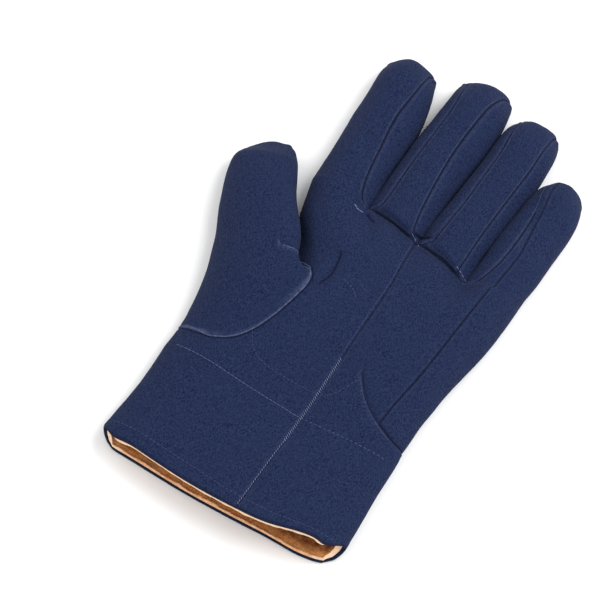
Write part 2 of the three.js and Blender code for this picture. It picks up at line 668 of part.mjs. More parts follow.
// A sewn piece: its cells pulled back from the seams by inset, from depth to depth + wall under the skin.
function clothGeometry(pieceCells, normals, { depth, wall, inset }) {
  const faces = pieceCells.flatMap(triangles);
  const edges = new Map();
  for (const face of faces) {
    face.forEach((a, k) => edges.set(`${a},${face[(k + 1) % 3]}`, { a, b: face[(k + 1) % 3], face }));
  }
  const rim = [...edges.values()].filter(({ a, b }) => !edges.has(`${b},${a}`));
  const pulls = new Map();
  for (const { a, b, face } of rim) {
    const inwards = faceNormal(face).cross(points[b].clone().sub(points[a])).normalize();
    for (const id of [a, b]) pulls.set(id, [...(pulls.get(id) ?? []), inwards]);
  }
  const used = [...new Set(faces.flat())];
  const place = new Map(used.map((id, k) => [id, k]));
  const outer = used.map((id) => {
    const spot = points[id].clone();
    const pull = pulls.get(id);
    if (!pull) return spot;
    const sum = pull.reduce((total, p) => total.add(p), new THREE.Vector3());
    const reach = inset * pull.length / Math.max(sum.lengthSq() / pull.length, LONGEST_PULL);
    return spot.addScaledVector(sum, reach / pull.length);
  });
  const skin = (level) => outer.map((spot, k) => spot.clone().addScaledVector(normals[used[k]], -level));
  const vertices = [...skin(depth), ...skin(depth + wall)];
  const count = used.length;
  const index = [];
  for (const [a, b, c] of faces.map((face) => face.map((id) => place.get(id)))) {
    index.push(a, b, c, a + count, c + count, b + count);
  }
  // Both pieces at a seam split its side faces along the same diagonals, so that twisted ones stay clear.
  for (const { a, b } of rim) {
    const [p, q] = [place.get(a), place.get(b)];
    const [pIn, qIn] = [p + count, q + count];
    index.push(...(a < b ? [q, p, qIn, p, pIn, qIn] : [q, p, pIn, q, pIn, qIn]));
  }
  const geometry = new THREE.BufferGeometry();
  const positions = vertices.flatMap((v) => v.toArray());
  geometry.setAttribute('position', new THREE.Float32BufferAttribute(positions, 3));
  geometry.setIndex(index);
  geometry.computeVertexNormals();
  return geometry;
}

layHand();
layPartings();
FINGERS.forEach((finger, index) => layFinger(index));
layThumb();

const normals = skinNormals();
const glove = new THREE.Group();
glove.position.y = -PALM_Y;

function sew(name, pieceCells, layer, material) {
  const mesh = new THREE.Mesh(clothGeometry(pieceCells, normals, layer), material);
  mesh.name = name;
  glove.add(mesh);
}

// The denim panels.
for (const name of new Set(cells.map((cell) => cell.piece))) {
  sew(name, cells.filter((cell) => cell.piece === name), { depth: 0, wall: DENIM, inset: SEAM / 2 }, NAVY);
}

// The lining, a sleeve inside the cuff that reaches up to the wrist stitching.
const lined = cells.filter((cell) => cell.row < LINING_ROWS);
sew('cuff_lining', lined, { depth: DENIM + SEAM, wall: FLEECE, inset: LINING_INSET }, TAN);

export default glove;
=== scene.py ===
import math

import bpy
import numpy as np
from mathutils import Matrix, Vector, noise
from mathutils.bvhtree import BVHTree
from mathutils.kdtree import KDTree


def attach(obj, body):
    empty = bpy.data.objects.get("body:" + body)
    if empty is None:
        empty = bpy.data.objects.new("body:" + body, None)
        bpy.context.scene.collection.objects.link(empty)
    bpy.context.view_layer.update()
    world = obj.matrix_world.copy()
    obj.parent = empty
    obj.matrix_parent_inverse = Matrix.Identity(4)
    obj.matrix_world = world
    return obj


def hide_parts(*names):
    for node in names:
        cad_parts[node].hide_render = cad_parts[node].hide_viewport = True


# A navy denim work glove for the left hand, lying on its back with the palm up.
# The cloth is laid out in millimetres as one net over the hand, with y from the cuff's edge,
# smoothed as one surface, sculpted along its seams and then cut into the sewn panels.
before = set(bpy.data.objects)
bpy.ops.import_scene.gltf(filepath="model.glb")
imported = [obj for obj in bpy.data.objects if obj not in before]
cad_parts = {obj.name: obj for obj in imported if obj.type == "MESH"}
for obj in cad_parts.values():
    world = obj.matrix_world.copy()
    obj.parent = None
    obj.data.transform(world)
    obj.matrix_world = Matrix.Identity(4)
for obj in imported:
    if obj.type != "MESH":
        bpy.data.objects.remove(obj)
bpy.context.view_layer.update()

MM = 0.001
PALM_Y = 120  # from the cuff's edge to the origin, under the middle of the palm
DENIM = 1.8  # thickness of the outer cloth
FLEECE = 1.6  # thickness of the lining
SEAM = 0.4  # gap between two pieces at a seam, and between denim and lining
LINING_INSET = 0.8  # how far the lining stays back from the cuff's edge
LINING_ROWS = 6  # rows of cells that the lining covers
WAIST = 8  # height at which the hand is widest
HEEL_ROUND = 7  # how far the flat underside stays in from the widest line
TOP_INSET = (7, 6)  # how far the ends of the palm's rows stay in from it, left and right
SMOOTHING = 3  # levels of subdivision
FLOOR_GAP = 0.05  # the cloth's lowest point over the floor
TINY = 1e-9  # added to lengths before something is divided by them


def table(columns, *rows):
    """Rows of numbers as named columns."""
    return dict(zip(columns.split(), np.array(rows, float).T))


LIP = table(
    "x back palm",
    (-68, 6, 6.2),
    (-58, 4.6, 5.9),
    (-50, 4.2, 5.4),
    (-34, 3.2, 3.5),
    (-15, 2.1, 1.6),
    (6, 2, 0.8),
    (28, 2.2, 1.6),
    (48, 2, 6.2),
    (60, 4.6, 7.6),
    (67, 8, 8.2),
)
LIP_FADE = 40  # how far into the glove the cuff edge's curve is felt

TOP = 4  # cells across the top of each finger
SIDE = 4  # cells down each side
THUMB_TOP = 6  # cells across the thumb
HAND = table(
    "y left right crown reach_left reach_right lift",
    (0, -66.5, 66.4, 20, 30, 20, 4),
    (30, -64, 66, 19, 30, 24, 2),
    (60, -63, 66, 19, 30, 26, 0),
    (80, -63, 65.5, 21, 30, 28, 0),
    (105, -56, 68.5, 24, 28, 28, 0),
    (131, -33, 73.2, 25, 30, 28, 0),
    (141, -33.5, 75, 25, 30, 27, 0),
    (155, -41, 76.6, 24.3, 26, 24, 0),
    (178, -47, 78, 22.5, 18, 18, 0),
)
LIFT_START = 0.3  # share of the width beyond which the cuff's end is lifted
LEAST_CROWN = 1  # the least height of a row's end over the waist
LEAST_SINE = 0.05
ROWS = [0, 6, 18, 31, 44, 55, 65, 73.4, 85, 95, 104, 113, 122, 131]
KNUCKLE_ROWS = [0.26, 0.49, 0.7, 0.87, 1]  # shares of the way from the last row to the crotches
THUMB_FIRST = 7  # the rows between which the thumb is set in
THUMB_LAST = THUMB_FIRST + THUMB_TOP
HEEL_ROW = 7  # the row at which the side seam ends
HEEL_DROP = 3.4
THUMB_SEAM = [(-43.5, 73), (-34.5, 77), (-27.5, 84.5), (-22, 95), (-17.8, 107.5), (-15, 120.5), (-18.5, 129)]
CENTRE_SEAM = table("y x", (0, 13.5), (57, 16.3), (105, 18.8), (143, 19.8), (172, 17))
SIDE_SEAM = table("y x", (0, 50), (73.4, 50.4), (107, 56), (143, 60.2), (173, 63.4))
CROTCHES = table(
    "x y z",
    (-40.5, 178, 0),
    (-13, 173, 17),
    (18.9, 170.3, 17),
    (48.4, 163, 16),
    (71, 165, 0),
)
VALLEY_REACH = 20  # how far the valleys between the fingers reach into the palm
PARTING_REACH = 40  # over how far the rows' points gather towards the crotches
PARTING_HOLLOW = 2
CROSS_SEAM_DIP = 3.6
CROSS_SEAM_REACH = 7

FINGER_NAMES = ["index", "middle", "ring", "little"]
FINGER_HEIGHTS = [22, 22.5, 22, 20]
EDGES = [table("s left right", *rows) for rows in [
    ((0, -46, -13.7), (0.3, -46.6, -13.6), (0.55, -47.6, -13.1), (0.75, -47.6, -15.1),
     (0.9, -48.8, -18.4), (1, -48.4, -21.2)),
    ((0, -12.8, 18.5), (0.3, -13, 19), (0.58, -11.6, 21.7), (0.75, -9.8, 22.5),
     (0.9, -9.3, 21.4), (1, -8.9, 19.4)),
    ((0, 19.3, 47.7), (0.25, 19.3, 48.9), (0.5, 21.3, 51.2), (0.7, 23.1, 53.5),
     (0.86, 23.8, 53.2), (0.93, 25, 52.2), (1, 27.2, 50)),
    ((0, 48.7, 77.2), (0.3, 49.4, 79.5), (0.55, 51, 80.4), (0.75, 52.7, 81.2),
     (0.88, 54, 80), (0.96, 56.2, 78.2), (1, 57.8, 76.9)),
]]
# Where the seams on top of each finger run, as shares of its half width. The middle one is only sewn
# on the little finger.
FINGER_SEAMS = [table("s left middle right", *rows) for rows in [
    ((0, -0.6, 0.1, 0.78), (0.13, -0.5, 0.03, 0.56), (0.34, -0.5, -0.04, 0.42),
     (0.56, -0.5, -0.1, 0.3), (0.8, -0.6, -0.03, 0.52), (1, -0.8, 0, 0.8)),
    ((0, -0.65, 0.05, 0.75), (0.12, -0.57, 0, 0.59), (0.31, -0.53, -0.03, 0.47),
     (0.53, -0.54, -0.1, 0.33), (0.77, -0.6, -0.12, 0.35), (0.88, -0.7, -0.1, 0.5), (1, -0.8, 0, 0.78)),
    ((0, -0.65, 0.05, 0.7), (0.11, -0.54, 0.08, 0.69), (0.27, -0.43, 0.12, 0.68),
     (0.5, -0.47, 0.1, 0.66), (0.76, -0.59, 0.02, 0.63), (0.9, -0.7, 0, 0.68), (1, -0.8, 0, 0.8)),
    ((0, -0.7, 0, 0.6), (0.15, -0.39, 0.04, 0.55), (0.3, -0.27, 0.09, 0.5),
     (0.5, -0.28, -0.05, 0.5), (0.67, -0.38, -0.18, 0.5), (0.8, -0.56, -0.34, 0.5),
     (1, -0.8, -0.45, 0.6)),
]]
# Five points along the seam across each fingertip.
TIPS = [
    [(-48.4, 259.4), (-41.6, 265.4), (-34.5, 267), (-27.6, 265.6), (-20.7, 262)],
    [(-8.9, 268.2), (-2.5, 271.6), (5.2, 273.4), (13, 272.9), (19.6, 268.2)],
    [(27.2, 262.8), (32.3, 265.4), (38, 265.5), (44, 265.2), (50, 261.4)],
    [(57.8, 238.4), (62, 241.4), (67, 242), (72.2, 239.8), (76.9, 235)],
]
FINGER_STEPS = [0.025, 0.06, 0.12, 0.21, 0.32, 0.44, 0.57, 0.7, 0.82, 0.91, 0.965]
FINGER_ROOT = 0.3  # share of the length over which a finger takes its own section
SEAM_ROOT = 0.04  # and over which its top does
FINGER_WAIST = 0.42  # share of the height at which a finger is widest
FLAT_HALF = 16  # fingers narrower than this to each side have less of a round edge below
TAPER_START = 0.72  # share of the length from which a finger grows thinner
TAPER_POWER = 2.5
TIP_THINNING = 0.54
TIP_LOW = 0.31  # height of the seam across the tip, as a share of the finger's

THUMB = table(
    "xl yl zl xr yr zr thick corner",
    (-63.5, 91, 8, -26, 131.5, 25, 22, -0.3),
    (-66, 106, 9, -31, 141, 23, 22, -0.2),
    (-71, 122, 9.5, -37.5, 150, 21, 21.5, 0),
    (-77.5, 137, 10, -43.5, 158, 19, 21, 0.4),
    (-82.5, 150, 10, -49, 166.5, 16.5, 20.5, 0.6),
    (-86.5, 162, 9.5, -53, 174.5, 14, 19, 0.6),
    (-88, 171, 9, -56.5, 181, 12, 16.5, 0.6),
    (-86.8, 175.2, 8.5, -59.5, 185, 10.5, 12, 0.6),
)
THUMB_TIP = {"left": (-85.3, 177.5), "middle": (-76.6, 188.2), "right": (-64.4, 190), "z": 8.5}
THUMB_BLEND = 3  # sections over which the thumb takes its own shape
THUMB_SHOULDER = 0.8  # share of its half width at which its top turns into its side
THUMB_RISE = 0.52  # share of its thickness over its widest line

PIECES = ["palm_index_side", "palm_little_side", "back", "middle_finger_front", "ring_finger_front",
          "fourchette_index_middle", "fourchette_middle_ring", "fourchette_ring_little", "thumb"]
PALMS = {"palm_index_side", "palm_little_side"}
CROSS_FRONTS = {"middle_finger_front", "ring_finger_front"}

# How far each kind of seam is sunk, how high the cloth beside it rises, how much it puckers, how pale its
# ridge wears, and how strong and how wide the painted shade along its line is.
SEAM_SHAPE = ("sink", "ridge", "pucker", "pale", "shade_strength", "shade_width")
SEAMS = {
    "finger": (0.55, 0.12, 0.1, 0.2, 0.9, 0.5),
    "centre": (0.28, 0.08, 0.06, 0.1, 0.6, 0.45),
    "cross": (0.7, 0.3, 0.7, 0.25, 0.85, 2.3),
    "thumb": (0.5, 0.3, 0.14, 1.4, 0.9, 0.5),
    "side": (0.5, 0.16, 0.08, 0.12, 0.8, 0.6),
    "joined": (0, 0, 0.1, 0, 0, 0.5),
    "heel": (0.45, 0.16, 0.08, 0.3, 0.9, 0.5),
    "fold": (0.9, 0.3, 0.2, 0.04, 0.8, 0.8),
    "tuck": (0.4, 0.3, 0.2, 0.6, 0.5, 0.5),
}
HEEL_SEAM = [(51, 73.2), (45.5, 76.2), (39.4, 80.8), (34.2, 86.8), (30.6, 92)]
# Folds as sharp as seams, in plan. Their ridge lies to the left of the way they run.
CREASES = [
    ("heel", HEEL_SEAM),
    ("fold", [(-10, 142.8), (-9, 137.8), (-8.4, 131.1), (-9.4, 126.5), (-10.9, 122.5)]),
    ("tuck", [(-22.5, 131.6), (-27.5, 132.7), (-32.9, 132.1), (-37.6, 131.4)]),
    ("fold", [(-10.9, 171.2), (-8.5, 169.6), (-6, 168.4)]),
    ("fold", [(15.4, 173.6), (18.5, 175.2), (21.4, 175.6)]),
]
# Softer folds, in plan, with their height and width.
FOLDS = [
    ([(-10.9, 122.5), (-8.4, 131.1), (-10, 142.8)], -0.5, 3),
    ([(-8, 121), (-4.5, 128), (-4.5, 138), (-7, 147)], 0.6, 3),
]
JOINED_FROM = 214  # beyond here the little finger's two seams look like one, in y
TIP_CREASE = 0.85  # how sharp the seam across a tip stays in the smoothed net
TIP_CORNER_CREASE = 0.5  # how sharp the left corner of a fingertip stays
CORRECTIONS = (0.9, 0.9, 0.9, 0)  # steps that bring the smoothed net back through its own points
SEAM_SAMPLES = (0, 0.25, 0.5, 0.75)
CREASE_STEP = 0.15
CURVE_STEP = 0.02  # share of a path's stretch between two points of its curve
ABOVE, BELOW = 60, -20  # heights over and under the whole glove
EVERY_PIECE = -1
SINK_WIDTH = 0.5
RIDGE_AT, RIDGE_WIDTH = 1.05, 0.5
ROUND_SINK, ROUND_WIDTH = 0.3, 3.4  # how much rounder a panel falls towards its seams
TOUCH, TOUCH_REACH = 0.45, 4  # how much the sides between two fingers swell, away from their seams
PUCKER_PITCH, PUCKER_REACH = 4.5, 5
CROWD_REACH, CROWD_POWER = 4, 1.9  # the mesh is drawn closer together this near to a seam
PANEL_GAP = 0.07  # how far each panel's edge stays back from the seam
SWELL, SWELL_PITCH = 0.5, 24  # soft waves of the cloth
RIPPLE, RIPPLE_PITCH = 0.16, 7
FACING_UP = 0.3  # the cloth that faces up more than this takes the soft folds
SHARP = math.radians(60)  # the angle from which an edge of the cloth is sharp
HEM_STITCH = 5  # from the cuff's edge to the stitching of its hem
HEM_SWELL, HEM_EDGE = 0.12, 1.2  # how much thicker the hem is, and how soon it ends
HEM_SINK, HEM_SINK_WIDTH = 0.22, 0.7
HEM_ROUND, HEM_ROUND_WIDTH = 0.4, 0.6
LIP_DARK, LIP_DARK_WIDTH = 1.2, 0.9 # the shadowed line along the cuff's edge

# The lining: its fluff and crumples, its rolled edge, and how far the cream of its edge reaches in.
FLUFF, FLUFF_PITCH = 0.35, 2.2
CRUMPLE, CRUMPLE_PITCH = 1.6, 7
LINING_ROLL, ROLL_WIDTH = 1.2, 1.4
INSET_WIDTH = 2
UPPER_PALE = 2.1
LOWER_PALE = 1.1
LOWER_CREAM = 0.46  # how much of the cream the lower lip shows
CREAM_RISE = (6, 9)  # heights between the lower and the upper lip
CREAM_SIDES = (50, 60)  # how far to the sides the ends of the cuff's slit begin
FLEECE_SHADE_REACH = (1, 8)  # the lining grows darker with painted shade this far behind the cuff's edge


def stitch_row(path, length, pitch, radius, slant=0, aside=0, is_below=False):
    """Stitches along a path in plan, which may slant, lie beside the path or be on the underside."""
    return {"path": path, "length": length, "pitch": pitch, "radius": radius, "slant": math.radians(slant),
            "aside": aside, "is_below": is_below}


# Each row's thread and stitches.
STITCHES = {
    "wrist_stitches": ("thread_pale", [
        stitch_row([(-56, 63.2), (-37.5, 61.9), (-7.3, 59), (12.9, 57.6)], 2.1, 2.3, 0.14),
        stitch_row([(14.5, 57.6), (28.6, 58.4), (50.3, 59.6), (61.8, 60.5)], 1.5, 2.4, 0.11),
    ]),
    "centre_stitches": ("thread_bright", [
        stitch_row([(13.2, 3.5), (14.2, 25), (15.4, 44)], 1.3, 1.5, 0.15, slant=25),
        stitch_row([(15.4, 44), (17, 70), (18.1, 94)], 1.7, 1.2, 0.15, slant=55),
    ]),
    "palm_stitches": ("thread_blue", [
        stitch_row([(18.1, 94), (19.2, 120), (19.7, 143), (17.2, 166)], 1.3, 1.8, 0.12, aside=0.9),
    ]),
    "hem_stitches": ("thread_blue", [
        stitch_row([(-62, 13.4), (-50, 13), (-34, 11.4), (-15, 9.4), (6, 7.1), (28, 7.2), (48, 9.6),
                    (61, 11)], 1.7, 2.4, 0.15),
        stitch_row([(-58, 11.6), (-34, 8.4), (-15, 6.4), (6, 6.2), (28, 5.6), (48, 6), (59, 8)],
                   1.7, 2.4, 0.15, is_below=True),
    ]),
    "lining_stitches": ("thread_blue", [
        stitch_row([(-26.6, 84.7), (-22, 78), (-12.5, 73.5), (8.2, 71.8), (21, 73.6), (27.5, 81.7),
                    (31.5, 90.2)], 1.6, 2.3, 0.14),
        stitch_row([(-0.8, 130.4), (4.3, 128.6), (8.8, 125)], 1.6, 2.1, 0.15),
        stitch_row([(6.6, 133), (10.3, 130.6)], 1.4, 2.1, 0.13),
    ]),
    "tack_stitches": ("thread_bright", [
        stitch_row([(-18, 171.6), (-16.3, 170.9), (-13.6, 171)], 2, 1.9, 0.22),
        stitch_row([(14.3, 172.3), (17.5, 170.6), (19.8, 168.2)], 1.4, 2, 0.14),
        stitch_row([(42.5, 166.9), (48.4, 164.9)], 1.5, 2, 0.15),
    ]),
}
# Rings of a stitch: how far along its half length, and its size and lift as shares of its radius.
THREAD_RINGS = ((-1, 0.3, -0.5), (-0.75, 0.85, 0.1), (0, 1, 0.45), (0.75, 0.85, 0.1), (1, 0.3, -0.5))
TUBE_SIDES = 6

# Thin raised edges of cloth beside the seams: how far beside and how thick they are, and how pale.
RIDGES = {
    "thumb_ridge": {"aside": 0.95, "radius": 0.42, "wear": 1},
    "heel_ridge": {"aside": -1, "radius": 0.3, "wear": 0.45},
    "finger_ridges": {"aside": 0.8, "radius": 0.24, "wear": 0.4},
}
THUMB_RIDGE = [(-60, 74.5), (-52, 73.2), *THUMB_SEAM, (-21.6, 131.2), (-27.5, 132.7), (-32.9, 132.1),
               (-36.5, 131.4)]
HEEL_RIDGE = [*reversed(HEEL_SEAM), (55.6, 71.2), (60.4, 70)]
RIDGE_REACH = (0.05, 0.93)  # the part of a finger's length that its ridges cover
RIDGE_POINTS = 14
RIDGE_STEP = 0.7
RIDGE_FADE = 6  # rings over which a ridge rises at its ends
RIDGE_END = 0.1  # its size at the very end
RIDGE_FLAT = 0.6

# Colours, linear.
NAVY_DARK = (0.002, 0.005, 0.03, 1)
NAVY_LIGHT = (0.0185, 0.03, 0.075, 1)
NAVY_FADED = (0.0115, 0.019, 0.056, 1)
NAVY_WORN = (0.1, 0.125, 0.23, 1)
# Painted shade for the seams, creases and the cuff's edge.
NAVY_PAINTED_SHADE = (0.003, 0.005, 0.018, 1)
# Painted shade inside the cuff.
FLEECE_PAINTED_SHADE = (0.12, 0.02, 0.001, 1)
FLEECE_DEEP = (0.5, 0.17, 0.04, 1)
FLEECE_TAN = (0.9, 0.38, 0.115, 1)
FLEECE_LIGHT = (0.93, 0.47, 0.18, 1)
FLEECE_CREAM = (0.92, 0.65, 0.45, 1)
FLOOR_WHITE = (0.9, 0.9, 0.9, 1)
THREAD_COLOURS = {
    "thread_bright": (0.17, 0.21, 0.35, 1),
    "thread_pale": (0.1, 0.13, 0.24, 1),
    "thread_blue": (0.048, 0.062, 0.145, 1),
}

# Patterns of the dye and of the painted shade, and how much of each mixes in.
SPECK_PITCH, SPECK_SPAN = 0.56, (0.28, 0.72)
SPECK_STRETCH = 0.5  # specks are drawn out along the twill
CLOUD_PITCH, CLOUD_MIX = 14, 0.35
WEAR_PITCH, WEAR_RANGE = 1.6, (0.25, 0.75)
# How much of the painted shade along seams, creases and the cuff's edge mixes in.
PAINTED_SHADE_MIX = 0.6
TUFT_PITCH = 0.9
PATCH_PITCH, PATCH_MIX = 6, 0.5
STREAK_PITCH, STREAK_RANGE = 2.6, (0.55, 1)
FRAY_PITCH, FRAY_RANGE = 1.7, (-0.25, 0.25)
CREAM_SPAN = (0.3, 0.75)
STRAND_PITCH, STRAND_RANGE = 0.5, (0.8, 1.1)
SOFT_SPAN = (0.3, 0.7)

# Bumps: their pitch, depth and strength.
TWILL_PITCH, TWILL_DEPTH, TWILL_STRENGTH = 0.8, 0.12, 0.6
TWILL_ANGLE = math.radians(-27)
WAVE_SCALE = math.pi / 10  # what makes a wave texture repeat once a unit
YARN = (0.6, 0.16, 0.7)
LUMPS = (2.4, 0.25, 0.5)
FUR = (0.5, 0.4, 0.8)
FUR_LUMPS = (1.6, 0.6, 0.6)
TWIST = (0.3, 0.08, 0.6)

# The photograph's view: its angles, and where one point of the glove shows in the picture.
VIEW_AZIMUTH = 30
VIEW_ELEVATION = 63
VIEW_DISTANCE = 1500
PICTURE = 600
PIXELS_PER_MM = 2.03
MARK = (2, 3, 10)
MARK_PIXEL = (342, 308)
SENSOR = 36
CLIP = (0.1, 20)
FLOOR_REACH = 4
WORLD_STRENGTH = 0.85
# Name, place, size and power.
LIGHTS = [
    ("key", (0.7, 0.5, 1.1), 0.9, 16),
    ("fill", (-0.9, -0.4, 1.0), 1.2, 5),
]


def lerp(a, b, t):
    return a + (b - a) * t


def clamp(value, low=0.0, high=1.0):
    return min(max(value, low), high)


def ease(t):
    return t * t * (3 - 2 * t)


def along(rows, at, column, key="y"):
    """A smooth curve through a table: the value of one column where the key column is at."""
    keys, values = rows[key], rows[column]
    last = len(keys) - 1
    at = clamp(at, keys[0], keys[last])
    i = 0
    while i < last - 1 and at > keys[i + 1]:
        i += 1

    def slope(k):
        before, after = max(k - 1, 0), min(k + 1, last)
        return (values[after] - values[before]) / (keys[after] - keys[before])

    width = keys[i + 1] - keys[i]
    s = (at - keys[i]) / width
    return ((1 + 2 * s) * (1 - s) ** 2 * values[i] + s * (1 - s) ** 2 * width * slope(i)
            + s * s * (3 - 2 * s) * values[i + 1] - s * s * (1 - s) * width * slope(i + 1))


def shoulder(distance, reach):
    """The round of a shoulder: 0 at the hand's edge and 1 where the palm is level."""
    return math.sqrt(1 - (1 - clamp(distance / reach)) ** 2)


def palm_height(x, y):
    left, right = along(HAND, y, "left"), along(HAND, y, "right")
    share = clamp((x - left) / (right - left))
    rise = math.sin(math.pi * share) * 2 * (share - LIFT_START)
    crown = along(HAND, y, "crown") + along(HAND, y, "lift") * rise
    left_shoulder = shoulder(x - left, along(HAND, y, "reach_left"))
    right_shoulder = shoulder(right - x, along(HAND, y, "reach_right"))
    return WAIST + (crown - WAIST) * left_shoulder * right_shoulder


# The net: points, and cells of four points with the name of their piece and their row.
points = []
cells = []
tip_creases = {}
tip_corners = []
COLUMNS = 4 * TOP
CENTRE = 2 * TOP  # the column of the centre seam
SIDE_COLUMN = 3 * TOP + 2  # the column of the side seam
CROTCH_ROW = len(ROWS) + len(KNUCKLE_ROWS) - 1
LAST_FINGER = len(FINGER_NAMES) - 1
NO_ROW = 99  # for the fingers and the thumb, which the lining doesn't reach


def point(x, y, z):
    points.append((x, y, z))
    return len(points) - 1


def strip(lower, upper, piece_of, row=NO_ROW):
    """Cells between two lines of points."""
    for i in range(len(lower) - 1):
        cells.append(((lower[i], lower[i + 1], upper[i + 1], upper[i]), piece_of(i), row))


def side_points(y, top, towards):
    """Points down one side of the hand, from a point on top to the flat underside, ends left out."""
    name = "left" if towards < 0 else "right"
    edge, reach = along(HAND, y, name), along(HAND, y, "reach_" + name)
    crown = max(top[2], WAIST + LEAST_CROWN)
    first = math.acos(1 - clamp(abs(edge - top[0]) / reach))
    rise = (crown - WAIST) / max(math.sin(first), LEAST_SINE)
    made = []
    for k in range(1, SIDE):
        angle = lerp(first, -math.pi / 2, k / SIDE)
        inwards = (reach if angle > 0 else HEEL_ROUND) * (1 - math.cos(angle))
        height = WAIST + rise * math.sin(angle) if angle > 0 else WAIST * (1 + math.sin(angle))
        made.append(point(edge - towards * inwards, lerp(top[1], y, k / SIDE), height))
    return made


def lip_shift(x, y, lip):
    """How far the curve of the cuff's edge moves a place along the hand."""
    return clamp(1 - y / LIP_FADE) * along(LIP, x, lip, "x")


def hollow(column):
    """1 where two fingers part, 0 on a finger's middle and on the outer edges."""
    if column <= TOP / 2 or column >= COLUMNS - TOP / 2:
        return 0
    return math.cos(math.pi * column / TOP) ** 2


def row_y(row, column):
    if row < len(ROWS):
        return ROWS[row]
    finger = min(column // TOP, LAST_FINGER)
    end = lerp(CROTCHES["y"][finger], CROTCHES["y"][finger + 1], column / TOP - finger)
    return lerp(ROWS[-1], end, KNUCKLE_ROWS[row - len(ROWS)])


def left_end(row):
    if THUMB_FIRST <= row <= THUMB_LAST:
        return THUMB_SEAM[row - THUMB_FIRST]
    y = row_y(row, 0)
    return along(HAND, y, "left") + TOP_INSET[0], y


def top_point(row, column):
    """A point on the palm. Past the thumb the columns gather towards the crotches of the fingers."""
    left_x, left_y = left_end(row)
    y = row_y(row, column)
    centre, side = along(CENTRE_SEAM, y, "x"), along(SIDE_SEAM, y, "x")
    right = along(HAND, y, "right") - TOP_INSET[1]
    knuckle = clamp((y - ROWS[THUMB_LAST]) / PARTING_REACH)
    row_height = y
    if column <= CENTRE:
        share = column / CENTRE
        first, third = CROTCHES["x"][1], centre
        parted = lerp(left_x, first, 2 * share) if share < 0.5 else lerp(first, third, 2 * share - 1)
        x = lerp(lerp(left_x, centre, share), parted, knuckle)
        row_height = lerp(left_y, y, ease(share))
    elif column <= SIDE_COLUMN:
        share = (column - CENTRE) / (SIDE_COLUMN - CENTRE)
        last = CROTCHES["x"][3]
        if column < 3 * TOP:
            parted = lerp(centre, last, (column - CENTRE) / TOP)
        else:
            parted = lerp(last, side, (column - 3 * TOP) / (SIDE_COLUMN - 3 * TOP))
        x = lerp(lerp(centre, side, share), parted, knuckle)
    else:
        x = lerp(side, right, (column - SIDE_COLUMN) / (COLUMNS - SIDE_COLUMN))
    if row == HEEL_ROW and column > SIDE_COLUMN:
        row_height -= HEEL_DROP * (column - SIDE_COLUMN) / (COLUMNS - SIDE_COLUMN)
    to_crotch = row_y(CROTCH_ROW, column) - y
    depth = ease(clamp(1 - to_crotch / VALLEY_REACH))
    finger = int(clamp(math.floor(column / TOP + 0.5), 1, 3))
    dip = CROSS_SEAM_DIP * clamp(1 - to_crotch / CROSS_SEAM_REACH) if TOP <= column <= 3 * TOP else 0
    level = palm_height(x, row_height)
    z = lerp(level, CROTCHES["z"][finger], hollow(column) * depth) - dip * (1 - hollow(column))
    return point(x, row_height + lip_shift(x, y, "palm"), z)


def bottom_point(row, column):
    y = row_y(row, column)
    left, right = along(HAND, y, "left") + HEEL_ROUND, along(HAND, y, "right") - HEEL_ROUND
    finger = min(column // TOP, LAST_FINGER)
    parted = [left, *CROTCHES["x"][1:4], right]
    even = lerp(left, right, column / COLUMNS)
    gathered = lerp(parted[finger], parted[finger + 1], column / TOP - finger)
    x = lerp(even, gathered, ease(y / CROTCHES["y"][0]))
    return point(x, y + lip_shift(x, y, "back"), 0)


RIGHT_SIDE = COLUMNS + SIDE
UNDERSIDE = RIGHT_SIDE + COLUMNS


def hand_piece(row, place):
    if place < CENTRE:
        return "palm_index_side"
    if place < SIDE_COLUMN or (place < RIGHT_SIDE and row < HEEL_ROW):
        return "palm_little_side"
    return "back" if place < UNDERSIDE else "palm_index_side"


hand = []


def lay_hand():
    for row in range(CROTCH_ROW + 1):
        top = [top_point(row, column) for column in range(COLUMNS + 1)]
        bottom = [bottom_point(row, column) for column in range(COLUMNS, -1, -1)]
        drop = HEEL_DROP if row == HEEL_ROW else 0
        right = side_points(row_y(row, COLUMNS) - drop, points[top[-1]], 1)
        is_hole = THUMB_FIRST < row < THUMB_LAST
        left = [] if is_hole else side_points(row_y(row, 0), points[top[0]], -1)[::-1]
        for i in right + left:
            x, y, z = points[i]
            points[i] = (x, y + lip_shift(x, row_y(row, 0), "back"), z)
        hand.append({"top": top, "right": right, "bottom": bottom, "left": left})
    for row in range(CROTCH_ROW):
        pair = hand[row], hand[row + 1]
        strip(*(r["top"] + r["right"] + r["bottom"] for r in pair), lambda place: hand_piece(row, place), row)
        if row < THUMB_FIRST or row >= THUMB_LAST:
            closing = ([r["bottom"][-1], *r["left"], r["top"][0]] for r in pair)
            strip(*closing, lambda place: "palm_index_side", row)


def finger_ring(half, height, seams):
    """A ring of points about a finger's axis, from its left seam over the top and back underneath."""
    flat = half - HEEL_ROUND * min(1, half / FLAT_HALF)
    waist = height * FINGER_WAIST
    left, middle, right = seams
    shares = [left, (left + middle) / 2, middle, (middle + right) / 2, right]
    top = [(half * share, waist + (height - waist) * math.sqrt(1 - share ** 2)) for share in shares]

    def side(seam):
        made = []
        for k in range(1, SIDE):
            angle = lerp(math.acos(seam), -math.pi / 2, k / SIDE)
            if angle > 0:
                made.append((half * math.cos(angle), waist + (height - waist) * math.sin(angle)))
            else:
                made.append((flat + (half - flat) * math.cos(angle), waist * (1 + math.sin(angle))))
        return made

    under = [(lerp(flat, -flat, k / TOP), 0) for k in range(TOP + 1)]
    return top + side(right) + under + [(-x, z) for x, z in side(-left)][::-1]


